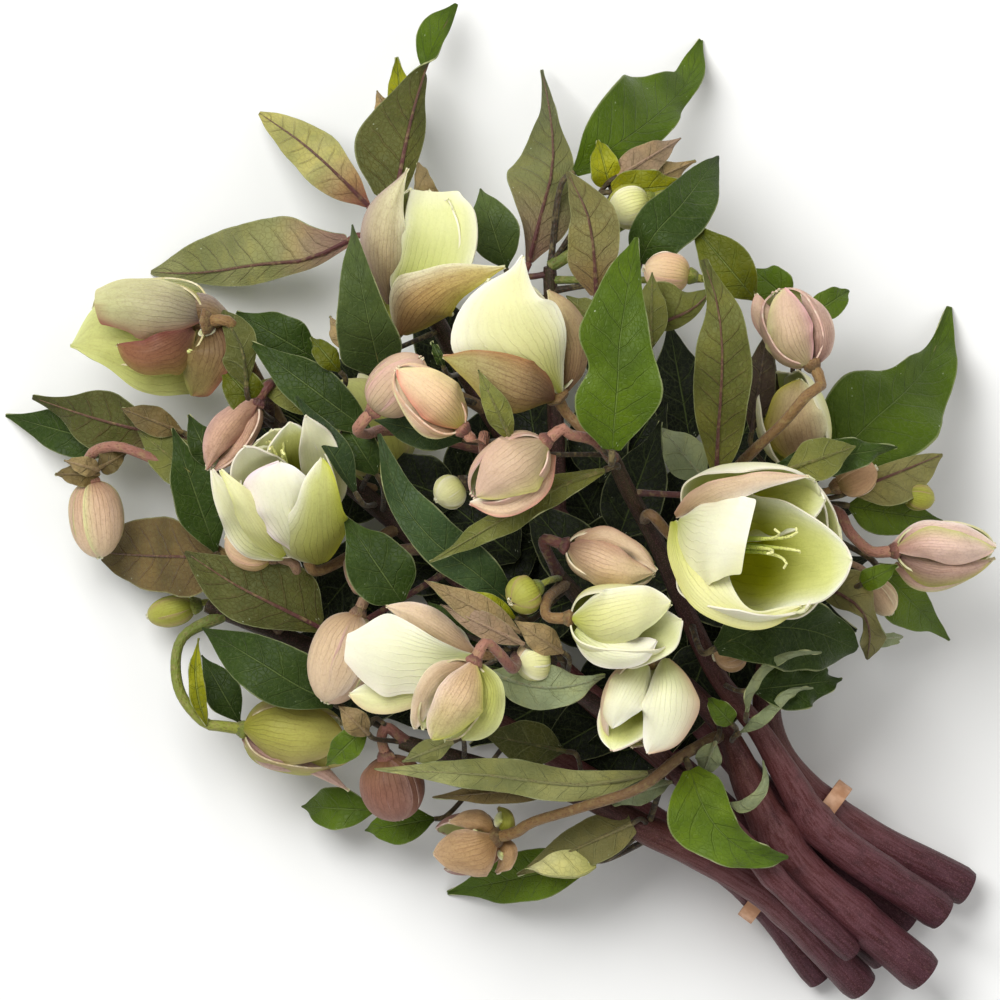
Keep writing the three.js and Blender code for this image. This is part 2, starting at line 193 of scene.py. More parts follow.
# The hairs stand closer than this, and are drawn as dots 0.6 mm apart so that they show.
dots = add(tree, "TexVoronoi", {"Vector": oval, "Scale": 1.7, "Randomness": 1.0})
mottle = add(tree, "TexNoise", {"Vector": grain, "Scale": 0.5, "Detail": 3.0})  # 2 mm across
skin = coat(tree, tint, dots, 0.42, 0.1, 0.6, colour("5a3024"))
skin = coat(tree, skin, mottle, 0.48, 0.7, 0.35, colour("9c8c58"))
tree.links.new(skin, shader.inputs["Base Color"])
emboss(tree, shader, 0.00025, (dots, 1.0))

END_INSETS = (0.25, 0.45)  # rings that soften a cut end, in shares of the radius
END_RADIUS = 0.9  # of a cut end, as a share of the radius next to it
END_DOME = 0.25
LUMPS = 0.06  # for each millimetre along a shoot
SEED_SHIFT = 7  # mm that a shoot's pattern is moved for each unit of its seed


def select(pieces):
    """Selects these objects and nothing else, with the first one active."""
    bpy.ops.object.select_all(action="DESELECT")
    for piece in pieces:
        piece.select_set(True)
    bpy.context.view_layer.objects.active = pieces[0]


def blank_rod(sides, rows):
    """A round rod with rings along it and softened ends, as a pattern for every stem or stalk."""
    bpy.ops.object.select_all(action="DESELECT")
    bpy.ops.mesh.primitive_cylinder_add(vertices=sides, radius=1, depth=1, end_fill_type="NGON")
    rod = bpy.context.object
    bpy.ops.object.mode_set(mode="EDIT")
    mesh = bmesh.from_edit_mesh(rod.data)
    for face in mesh.faces:
        face.select_set(abs(face.normal.z) > 0.9)
    bmesh.update_edit_mesh(rod.data)
    for inset in END_INSETS:
        bpy.ops.mesh.inset(thickness=inset, depth=0)
    bpy.ops.mesh.select_all(action="DESELECT")
    mesh = bmesh.from_edit_mesh(rod.data)
    for edge in mesh.edges:
        edge.select_set(abs(edge.verts[0].co.z - edge.verts[1].co.z) > 0.5)
    bmesh.update_edit_mesh(rod.data)
    bpy.ops.mesh.subdivide(number_cuts=rows - 1)
    bpy.ops.object.mode_set(mode="OBJECT")
    return rod


thick_rod = blank_rod(sides=20, rows=56)
thin_rod = blank_rod(sides=10, rows=22)
fine_rod = blank_rod(sides=6, rows=8)


def copied(pattern):
    """A copy of a pattern with its own mesh."""
    made = pattern.copy()
    made.data = pattern.data.copy()
    bpy.context.collection.objects.link(made)
    return made


def keep(mesh, name, values):
    """Keeps a place or a colour for each point of a mesh, under the name that the materials read."""
    if len(values) == 4 * len(mesh.vertices):
        mesh.color_attributes.new(name, "FLOAT_COLOR", "POINT").data.foreach_set("color", values)
    else:
        mesh.attributes.new(name, "FLOAT_VECTOR", "POINT").data.foreach_set("vector", values)


def shoot(rod, line, radii, shades, skin, knots=(), rough=0.03, seed=0.0):
    """A rod bent along a line, with a radius and a colour at each share of its length. A knot is its share
    of the length, how far it swells and how long it is, both in millimetres."""
    made = copied(rod)
    mesh = made.data
    frames = {}
    forward = line.at(0)[1]
    side = (UP.cross(forward) if abs(forward.z) < 0.95 else Vector((1, 0, 0))).normalized()
    for share in sorted({round(v.co.z + 0.5, 5) for v in mesh.vertices}):
        centre, forward = line.at(share)
        side = (side - forward * side.dot(forward)).normalized()
        frames[share] = (centre, forward, side, forward.cross(side))
    grains, tints = [], []
    for v in mesh.vertices:
        share = round(v.co.z + 0.5, 5)
        centre, forward, side, over = frames[share]
        angle = math.atan2(v.co.y, v.co.x)
        out = math.hypot(v.co.x, v.co.y)
        radius = level(radii, share)
        for spot, swell, width in knots:
            radius += swell * math.exp(-((share - spot) * line.length / width) ** 2)
        cosine, sine = math.cos(angle), math.sin(angle)
        lump = noise.noise(Vector((cosine * 0.9, sine * 0.9, share * line.length * LUMPS + seed)))
        radius *= 1 + rough * lump * 2
        back = 0.0
        if share in (0.0, 1.0):
            radius *= END_RADIUS
            back = (out - 0.75) * radius * END_DOME * (1 if share == 0.0 else -1)
        v.co = centre + forward * back + (side * cosine + over * sine) * radius * out
        grains += [radius * cosine, radius * sine, share * line.length + seed * SEED_SHIFT]
        tints += blend(shades, share)
    keep(mesh, "grain", grains)
    keep(mesh, "over", tints)
    mesh.materials.append(skin)
    return made


def joined(name, pieces):
    """One object from several, in the bunch's frame, with smooth faces."""
    select(pieces)
    if len(pieces) > 1:
        bpy.ops.object.join()
    whole = pieces[0]
    whole.name = name
    whole.data.name = name
    whole.data.transform(SETTLE)
    bpy.ops.object.shade_smooth_by_angle(angle=SMOOTH_ANGLE)
    return whole


# Each route runs from the cut end to the growing end. Each stop is [across, down, height, radius].
STEMS = {
    "stem_right": [[970, 891, 8, 6], [829, 812, 22, 5.8], [772, 738, 31, 4.6], [772, 640, 35, 3.4],
                   [790, 545, 38, 3], [790, 492, 41, 2.6]],
    "stem_upper": [[945, 917, 20, 5.8], [817, 825, 36, 5.6], [795, 790, 40, 4.8], [761, 733, 46, 3.2],
                   [720, 680, 53, 3], [690, 620, 60, 2.8], [655, 540, 72, 2.6], [625, 485, 86, 2.4],
                   [612, 455, 93, 2.2]],
    "stem_front": [[927, 977, 18, 6.6], [793, 858, 34.4, 6.3], [752, 790, 41, 5.4], [728, 735, 46, 3.4],
                   [690, 690, 51, 3], [630, 645, 60, 2.8], [585, 605, 70, 2.6], [556, 572, 80, 2.2]],
    "stem_left": [[864, 989, 14, 5.8], [771, 895, 32.6, 5.7], [700, 853, 36, 5.5], [650, 832, 38, 4.6],
                  [590, 800, 40, 3.2], [500, 772, 42, 2.8], [400, 742, 45, 2.4]],
    "stem_thin": [[853, 954, 29.2, 3.8], [776, 880, 46, 3.6], [722, 818, 50, 3.2], [640, 740, 58, 2.8],
                  [560, 680, 76, 2.5], [512, 652, 87, 2.2]],
    "stem_low": [[822, 982, 5, 4.6], [762, 903, 15, 4.5], [690, 845, 19, 4.2], [590, 780, 22, 3.6],
                 [470, 710, 23, 3.2], [330, 655, 24, 2.8], [205, 606, 28, 2.2]],
    "stem_rear_top": [[912, 925, 5.6, 5.3], [806, 842, 19, 5.2], [740, 765, 27, 4.6], [640, 650, 33, 3.8],
                      [560, 520, 36, 3.4], [470, 380, 37, 3], [410, 270, 38, 2.6], [390, 222, 40, 2.2]],
    "stem_rear_left": [[887, 960, 5.6, 5.3], [785, 871, 18.5, 5.2], [700, 788, 24, 4.6], [580, 688, 27, 3.8],
                       [440, 560, 30, 3.3], [330, 468, 33, 2.9], [258, 408, 38, 2.3]],
}
# A second growing tip on one rear stem, from this share of its length.
FORK = {"stem": "stem_rear_top", "at": 0.62, "route": [[556, 420, 40], [552, 330, 44], [550, 266, 47]],
        "radii": [2.6, 2.6, 2.4, 2.2]}
STEM_SHADES = [colour(c) for c in
               ("4a2832", "5a343c", "6c4448", "6e4646", "5c382e", "462e24", "362a1c", "322e18", "343218")]
KNOTS = {
    "stem_right": [(0.34, 0.5, 3.0)], "stem_upper": [(0.27, 0.9, 4.0), (0.12, 0.3, 3.0)],
    "stem_front": [(0.36, 1.6, 5.0), (0.17, 0.35, 3.0)], "stem_left": [(0.22, 0.5, 4.0)],
    "stem_thin": [(0.25, 0.5, 3.0)], "stem_low": [(0.15, 0.4, 3.0)],
    "stem_rear_top": [(0.2, 0.5, 3.0)], "stem_rear_left": [(0.18, 0.4, 3.0)],
}
RADIUS_STEPS = 24

routes = {name: Line([place(stop) for stop in stops]) for name, stops in STEMS.items()}
growing = {}
for number, (name, stops) in enumerate(STEMS.items()):
    # The radius is read at even shares of the length, as the route's stops are unevenly spaced.
    line = routes[name]
    shares = [min(range(len(line.points)), key=lambda i: (line.points[i] - place(stop)).length) for stop in stops]
    shares = [line.lengths[i] / line.length for i in shares]
    radii = []
    for i in range(RADIUS_STEPS + 1):
        share = i / RADIUS_STEPS
        k = max(j for j in range(len(shares) - 1) if shares[j] <= share or j == 0)
        part = (share - shares[k]) / (shares[k + 1] - shares[k])
        radii.append(stops[k][3] + (stops[k + 1][3] - stops[k][3]) * min(max(part, 0), 1))
    growing[name] = [shoot(thick_rod, line, radii, STEM_SHADES, bark, KNOTS[name], 0.035, number * 5.3)]
routes["fork"] = Line([routes[FORK["stem"]].at(FORK["at"])[0]] + [place(stop) for stop in FORK["route"]])
growing[FORK["stem"]].append(shoot(thin_rod, routes["fork"], FORK["radii"], STEM_SHADES[5:], bark))

STALK_TONES = {
    "golden": ("5c4a30", "775a38", "8c6c40"), "maroon": ("3e2626", "56302e", "6c3e36"),
    "red": ("5a3830", "84564a", "ae7c66"), "green": ("5c682c", "78822e", "8e9238"),
    "tan": ("5c4838", "846650", "a08066"), "dark": ("2a2418", "342a1a", "423820"),
}
# Radii in mm: a flower's stalk, a small bud's, a leaf's and a small leaf's.
STALK_RADIUS, BUD_STALK_RADIUS, PETIOLE_RADIUS, SMALL_PETIOLE_RADIUS = 1.7, 1.1, 1.0, 0.8


def stalk(carrier, at, via, base, aim, radius, tone, seed=0.0):
    """A stalk from its stem's middle line, through its own places, in line with what it carries."""
    lead = (base - aim).normalized() * radius * 4
    line = Line([routes[carrier].at(at)[0]] + [place(stop) for stop in via] + [base + lead, base])
    made = shoot(thin_rod, line, [radius * 1.25, radius, radius, radius * 0.95, radius * 1.1],
                 [colour(c) for c in STALK_TONES[tone]], stalk_skin, (), 0.05, seed)
    growing[FORK["stem"] if carrier == "fork" else carrier].append(made)


# ---- Elastic band ----
# One flat loop of tan natural rubber round the rear stems just below the front ones, which keeps the bunch
# together. It was cut from a moulded tube, so its edges are square and its faces plain.
BAND_PLACE = (795, 855)
BAND_WIDTH = 5
BAND_THICKNESS = 1.4
BAND_EDGE = 0.25
# Its loop round the stems: millimetres across the bundle from its place, and height.
BAND_LOOP = [(-17.5, 9), (-6, 11.6), (5.1, 12.8), (16.4, 15), (22, 16.6), (24.8, 22.4), (22.6, 28.2),
             (16.6, 29.7), (5.1, 25.3), (-5.6, 24.7), (-17.3, 20.5), (-21.6, 19), (-23.4, 15), (-22.2, 10.6)]
ALONG_BUNDLE = Vector((0.8, -0.6, 0))
ACROSS_BUNDLE = Vector((0.6, 0.8, 0))


def finish(piece, *modifiers):
    """Adds modifiers to the active piece and applies them in turn. Each is its kind and its settings."""
    for kind, settings in modifiers:
        modifier = piece.modifiers.new(kind.lower(), kind)
        for key, value in settings.items():
            setattr(modifier, key, value)
        bpy.ops.object.modifier_apply(modifier=modifier.name)


stops = [place((*BAND_PLACE, height)) + ACROSS_BUNDLE * sideways for sideways, height in BAND_LOOP]
# The line runs past its own start at both ends, and one whole turn is read from between them.
turn = Line(stops[-2:] + stops + stops[:2]).points[2 * LINE_STEPS:(2 + len(stops)) * LINE_STEPS]
middle = sum(turn, Vector()) / len(turn)
bpy.ops.object.select_all(action="DESELECT")
bpy.ops.mesh.primitive_circle_add(vertices=len(turn), radius=1, fill_type="NOTHING")
band = bpy.context.object
for v, spot in zip(band.data.vertices, turn):
    v.co = spot - ALONG_BUNDLE * BAND_WIDTH / 2
bpy.ops.object.mode_set(mode="EDIT")
bpy.ops.mesh.select_all(action="SELECT")
bpy.ops.mesh.extrude_region_move(TRANSFORM_OT_translate={"value": ALONG_BUNDLE * BAND_WIDTH})
bpy.ops.mesh.normals_make_consistent(inside=False)
bpy.ops.object.mode_set(mode="OBJECT")
probe = band.data.polygons[0]
outward = (probe.center - middle).dot(probe.normal) > 0
finish(band, ("SOLIDIFY", {"thickness": BAND_THICKNESS, "offset": 1 if outward else -1}),
       ("BEVEL", {"width": BAND_EDGE, "segments": 2, "limit_method": "ANGLE"}))
# Natural rubber, moulded and sliced: matt, its tan broken by a paler bloom in patches of about 4 mm.
rubber, tree, shader = material("tan natural rubber", Roughness=0.62, IOR=1.5)
spots = add(tree, "TexCoord", out="Object")
bloom = add(tree, "TexNoise", {"Vector": spots, "Scale": 260.0, "Detail": 4.0})
skin = coat(tree, colour("b98763"), bloom, 0.35, 0.7, 1.0, colour("d9ad8c"))
tree.links.new(skin, shader.inputs["Base Color"])
emboss(tree, shader, 0.0002, (bloom, 1.0))
band.data.materials.append(rubber)
joined("rubber_band_loop", [band])
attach(band, "root")
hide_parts("elastic_band")

# ---- Leaves ----
# Leathery hellebore leaves and the smaller bracts below the heads, each one grown blade with a sunken
# midrib above and a raised, often maroon one below, side veins, fine cells and a thin pale toothed margin.
def blank_sheet(across, along):
    """A flat grid, as a pattern for every leaf or sepal."""
    bpy.ops.object.select_all(action="DESELECT")
    bpy.ops.mesh.primitive_grid_add(x_subdivisions=across, y_subdivisions=along, size=2)
    return bpy.context.object


blank_leaf = blank_sheet(across=8, along=28)
blank_sepal = blank_sheet(across=10, along=18)


def sheet(blank, surface, over, beneath, thickness, skins, crowding=1.0):
    """One thin grown sheet. surface(u, v) gives its places, and over(u, v) and beneath(u, v) its colours,
    with u from -1 to 1 across and v from 0 to 1 along. The skins are its face, its back and its rim.
    Crowding above 1 sets the rows closer together towards the tip."""
    made = copied(blank)
    mesh = made.data
    places, above, below, grains, shares = [], [], [], [], []
    wide, long = surface.size
    for v in mesh.vertices:
        across, along = v.co.x, 1 - ((1 - v.co.y) / 2) ** crowding
        places += surface(across, along)[:]
        above += over(across, along)
        below += beneath(across, along)
        grains += [across * wide + surface.aside, along * long, 0]
        shares += [across, along, 0]
    mesh.vertices.foreach_set("co", places)
    keep(mesh, "over", above)
    keep(mesh, "beneath", below)
    keep(mesh, "grain", grains)
    keep(mesh, "share", shares)
    for skin in skins:
        mesh.materials.append(skin)
    select([made])
    finish(made, ("SUBSURF", {"levels": 1, "render_levels": 1}),
           ("SOLIDIFY", {"thickness": thickness, "offset": -1, "material_offset": 1, "material_offset_rim": 2}))
    return made


def leaf_face(name, layer, rib_dark, rib_pale, raised, sheen, roughness):
    """Skin of one face of a leaf, its veins raised or sunken: veins, cells and flecks on the blade's measures."""
    made, tree, shader = material(name, IOR=1.4, Specular_IOR_Level=0.24, Sheen_Weight=sheen, Sheen_Roughness=0.35)
    grain = add(tree, "Attribute", out="Vector", attribute_name="grain")
    share = add(tree, "Attribute", out="Vector", attribute_name="share")
    paint = add(tree, "VertexColor", layer_name=layer)
    spots = add(tree, "TexCoord", out="Object")
    # Patches about 7 mm, 1 mm and 17 mm across.
    drift = add(tree, "TexNoise", {"Vector": spots, "Scale": 140.0, "Detail": 2.0})
    fine = add(tree, "TexNoise", {"Vector": spots, "Scale": 900.0, "Detail": 3.0})
    broad = add(tree, "TexNoise", {"Vector": spots, "Scale": 60.0, "Detail": 3.0})
    reach = add(tree, "SeparateXYZ", {0: grain})
    away = add(tree, "Math", {0: reach}, operation="ABSOLUTE")
    aside = add(tree, "Math", {0: add(tree, "SeparateXYZ", {0: share})}, operation="ABSOLUTE")
    # Side veins leave the midrib at about 50 degrees, 6.5 mm apart, and bend towards the tip.
    run = add(tree, "Math", {0: away, 1: -0.75, 2: reach.node.outputs[1]}, operation="MULTIPLY_ADD")
    run = add(tree, "Math", {0: drift, 1: 3.2, 2: run}, operation="MULTIPLY_ADD")
    run = add(tree, "Math", {0: run, 1: 6.5}, operation="DIVIDE")
    run = add(tree, "Math", {0: run, 1: 0.5}, operation="PINGPONG")
    # The veinlets stand closer than this, and are drawn 1.6 mm apart so that they show.
    cells = add(tree, "TexVoronoi", {"Vector": grain, "Scale": 0.62, "Randomness": 0.9},
                feature="DISTANCE_TO_EDGE")
    fleck = add(tree, "TexVoronoi", {"Vector": grain, "Scale": 0.5, "Randomness": 1.0})  # one in 2 mm
    chance = add(tree, "SeparateColor", {0: fleck.node.outputs["Color"]})
    side_vein, inner, midrib, net, near, chosen = [
        add(tree, "MapRange", {"Value": value, "From Min": low, "From Max": high}, interpolation_type="SMOOTHSTEP")
        for value, low, high in ((run, 0.075, 0.02), (aside, 1.0, 0.55), (away, 0.42, 0.14), (cells, 0.1, 0.0),
                                 (fleck, 0.17, 0.1), (chance, 0.86, 0.88))]
    side_vein = add(tree, "Math", {0: side_vein, 1: inner}, operation="MULTIPLY")
    flecks = add(tree, "Math", {0: near, 1: chosen}, operation="MULTIPLY")
    skin = coat(tree, paint, broad, 0.3, 0.7, 1.0, (0.62, 0.66, 0.6, 1), "MULTIPLY")
    skin = coat(tree, skin, drift, 0.42, 0.72, 0.22, (1.7, 1.5, 0.9, 1), "MULTIPLY")
    skin = coat(tree, skin, fine, 0.45, 0.75, 0.08, colour(rib_pale))
    rib = add(tree, "Mix", {0: paint.node.outputs["Alpha"], 6: colour(rib_pale), 7: colour(rib_dark)}, 2,
              data_type="RGBA")
    for pattern, sunken_share, raised_share, over in ((net, 0.07, 0.11, rib), (side_vein, 0.1, 0.17, rib),
                                                      (midrib, 0.3, 0.7, rib), (flecks, 0.5, 0.5, colour("c9d2b4"))):
        amount = add(tree, "Math", {0: pattern, 1: raised_share if raised else sunken_share}, operation="MULTIPLY")
        skin = add(tree, "Mix", {0: amount, 6: skin, 7: over}, 2, data_type="RGBA")
    skin = coat(tree, skin, aside, 0.955, 0.985, 0.35, colour("a3a978"))
    tree.links.new(skin, shader.inputs["Base Color"])
    dull = add(tree, "MapRange", {"Value": broad, "To Min": roughness - 0.08, "To Max": roughness + 0.14})
    tree.links.new(dull, shader.inputs["Roughness"])
    way = 1.0 if raised else -1.0
    emboss(tree, shader, 0.0003, (net, way * 0.35), (side_vein, way), (midrib, way * 1.5), (fine, 0.35))
    return made


# Leathery living leaf: a waxy top with a soft sheen and sunken veins, a duller back with raised veins. Each
# has a twin that reads the colours of the side that lies away from the viewer.
leaf_top, leaf_top_below = [
    leaf_face(name, layer, "5d6d3a", "7e9050", False, sheen=0.03, roughness=0.44)
    for name, layer in (("hellebore leaf top", "over"), ("hellebore leaf top, seen below", "beneath"))]
leaf_back, leaf_back_below = [
    leaf_face(name, layer, "5c2c28", "a4a670", True, sheen=0.06, roughness=0.55)
    for name, layer in (("hellebore leaf back", "over"), ("hellebore leaf back, seen below", "beneath"))]
# The margin is a thin horny edge, bare of the green skin: pale, and worn browner in places.
leaf_margin, tree, shader = material("pale leaf margin", Roughness=0.5, IOR=1.45)
spots = add(tree, "TexCoord", out="Object")
wear = add(tree, "TexNoise", {"Vector": spots, "Scale": 300.0, "Detail": 2.0})  # 3 mm
skin = coat(tree, colour("7a8450"), wear, 0.4, 0.65, 1.0, colour("b4b684"))
tree.links.new(skin, shader.inputs["Base Color"])

# Colours from base to tip.
TOPS = {
    "dark": ("2a3c0e", "364a14"), "green": ("4c6206", "546c12"), "bright": ("627814", "5c761e"),
    "olive": ("565800", "60660a"), "blue": ("2c3e1e", "3a4e2c"), "mid": ("34441a", "5a6a36"),
    # The deep tone is painted shade: a near-black green, darker than any leaf's own, for the leaves inside the bunch
    # where shade falls.
    "lime": ("8c8a0a", "949614"), "deep": ("0c1204", "121a06"),
}
BACKS = {
    "sage": ("908f58", "9e9f68"), "olive": ("6a6a2c", "74773a"), "brown": ("74603a", "786640"),
    "lime": ("aaa46c", "b0aa60"), "grey": ("868e68", "98a07c"), "tan": ("98805a", "a08860"),
    "pink": ("a08468", "a88c74"), "dusk": ("4c3c34", "56483c"), "moss": ("4c4e20", "585a2a"),
    "fern": ("6c6e40", "72754a"), "straw": ("827a4a", "8a8450"), "butter": ("b8b266", "dcd69c"),
}
DARK_RIBBED = ("tan", "pink", "brown", "dusk")  # backs whose veins are maroon even where no rib colour is given
# Half widths at even steps from base to tip, as shares of the widest, where a leaf has none of its own.
SHAPES = {
    "lance": (0.1, 0.5, 0.84, 1.0, 0.97, 0.82, 0.52, 0.24, 0.04),
    "broad": (0.14, 0.78, 1.0, 1.0, 0.9, 0.7, 0.4, 0.18, 0.04),
    "narrow": (0.2, 0.6, 0.85, 0.95, 0.95, 0.85, 0.6, 0.3, 0.04),
    "bract": (0.5, 0.85, 1.0, 0.98, 0.9, 0.72, 0.45, 0.2, 0.04),
}
LEAF_THICKNESS = 0.5
LEAF_FOLD = 16  # degrees
TEETH = 14  # along each edge
TOOTHED = (0.3, 0.97)  # shares of the length between which a blade has teeth
EDGE_WANDER = 0.07  # share of its width that an edge wanders
RIPPLE, UNEVEN = 0.5, 1.6  # mm that every blade's edges wave, and that its face is uneven
RIB_ROUND = 0.7  # mm, how softly a blade folds along its midrib
PLAIN_ASIDE = 4.0  # mm that a plain fold's pattern is moved, so that no midrib is drawn on it
# How deep the ridge of the midrib lies below the top, in mm at shares of the length.
RIDGE_DROPS = ((0, -1.15), (0.2, -0.9), (0.4, -0.8), (0.6, -0.7), (0.8, -0.55), (0.95, -0.45))
RIDGE_RISE = 0.2  # mm above a back that faces the viewer
RIDGE_RADII = [PETIOLE_RADIUS * 0.85, 0.55, 0.42, 0.3, 0.15]
FLUSH_END = 0.35  # share of the length over which a tinge at the base fades


def rounding(v):
    """Share of its width that a round-ended sheet keeps at a share of its length."""
    return math.sqrt(max(1 - max((v - 0.78) / 0.22, 0) ** 2.4, 0.0009))


def blade_surface(spine, width, shape="lance", widths=None, roll=0.0, flip=None, fold=0.0, cup=0.0, wave=0.0,
                  waves=3.0, teeth=0.02, seed=0.0, pleat=0.0, round_end=False):
    """The places of a blade along its spine: folded up along the midrib by degrees, rolled, cupped and wavy.
    A flip turns it over between two shares of its length."""
    line = Line(spine, 10)
    if widths:
        outline = [[PLAN_UNIT * w for w in row] for row in widths]
        width = 2 * max(max(row) for row in outline)
    else:
        outline = [[width / 2 * w for w in SHAPES[shape]]] * 2
    lean = math.radians(fold)

    def surface(u, v):
        centre, forward = line.at(v)
        right = forward.cross(UP).normalized()
        angle = roll
        if flip:
            part = min(max((v - flip[0]) / (flip[1] - flip[0]), 0), 1)
            angle += 180 * part * part * (3 - 2 * part)
        right = Matrix.Rotation(math.radians(angle), 3, forward) @ right
        over = right.cross(forward)
        hand = 1 if u >= 0 else -1
        half = level(outline[0 if hand > 0 else 1], v)
        half *= 1 + EDGE_WANDER * noise.noise(Vector((v * 5, hand * 3, seed)))
        if round_end:
            half *= rounding(v)
        if abs(u) > 0.8 and TOOTHED[0] < v < TOOTHED[1]:
            bite = (v * TEETH + (0.3 if hand > 0 else 0)) % 1.0
            half *= 1 + teeth * (bite - 0.4) * 2
        reach = abs(u) * half
        rise = (math.hypot(reach, RIB_ROUND) - RIB_ROUND) * math.tan(lean * (1 - 0.35 * abs(u)))
        rise -= cup * (reach / max(width / 2, 0.1)) ** 2
        beat = 2 * math.pi * waves * v + seed * 3 + (0 if hand > 0 else 2.1)
        rise += (RIPPLE + wave) * abs(u) ** 1.8 * math.sin(beat) * min(1, v * 4) * min(1, (1 - v) * 4 + 0.15)
        spot = centre + right * hand * reach * math.cos(lean * 0.5) + over * rise
        rough = noise.noise(spot * 0.09 + Vector((seed, 0, 0))) * UNEVEN * (0.3 + 0.7 * abs(u))
        return spot + over * (rough + pleat * math.sin(u * 8 + seed + v) * min(1, v * 3))

    surface.size, surface.aside = (width / 2, line.length), 0.0
    return surface


def leaf(name, base, tip, width=10.0, tone="green", back=None, bow=8.0, side=0.0, via=None, rib=0.0, flush=None,
         node=None, plain=False, **ways):
    """A leaf from its base place to its tip place. One with a back colour shows its back to the viewer. Rib is
    how maroon its veins are, and flush a tinge at its base. A plain one is a small fold with no midrib."""
    start, end = place(base), place(tip)
    seed = sum(map(ord, name)) * 0.37 % 17
    if via:
        spine = [start] + [place(stop) for stop in via] + [end]
    else:
        across = UP.cross((end - start).normalized())
        middle = (start + end) / 2 + across * side + UP * bow
        spine = [start * (1 - t) ** 2 + middle * 2 * t * (1 - t) + end * t ** 2 for t in (0, 0.25, 0.5, 0.75, 1)]
    ways = {"fold": LEAF_FOLD} | ({"teeth": 0.0} if plain else {}) | ways
    if back:
        ways["fold"] *= -1
    surface = blade_surface(spine, width, seed=seed, **ways)
    surface.aside = PLAIN_ASIDE if plain else 0.0
    tops = [colour(c, 0.3 if back else rib) for c in TOPS[tone]]
    veined = max(rib, 0.6 if back in DARK_RIBBED else 0.0)
    backs = [colour(c, veined if back else 0.2) for c in BACKS[back or "olive"]]
    mood = 1 + 0.16 * math.sin(seed * 5)  # each leaf is a little lighter or darker

    def paint(shades, tinge=None):
        def shade(u, v):
            made = [c * mood for c in blend(shades, v)[:3]] + [shades[0][3]]
            return blend([tinge, made], v / FLUSH_END) if tinge and v < FLUSH_END else made
        return shade

    seen, hidden = (backs, tops) if back else (tops, backs)
    skins = (leaf_back, leaf_top_below, leaf_margin) if back else (leaf_top, leaf_back_below, leaf_margin)
    blade = sheet(blank_leaf, surface, paint(seen, colour(flush, rib) if flush else None), paint(hidden),
                  LEAF_THICKNESS, skins)
    pieces = [blade]
    if not plain:
        # The midrib stands out on the back as a tapering ridge.
        ridge_line = Line([surface(0, v) + UP * (RIDGE_RISE if back else drop) for v, drop in RIDGE_DROPS], 6)
        shades = [colour("52282a"), colour("6a5038")] if rib > 0.5 else [
            [part * 0.85 for part in own[:3]] + [1] for own in backs]
        pieces.append(shoot(fine_rod, ridge_line, RIDGE_RADII, shades, stalk_skin, (), 0.05, seed))
    piece = joined(name, pieces)
    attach(piece, "root")
    if node:
        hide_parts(node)
    return spine


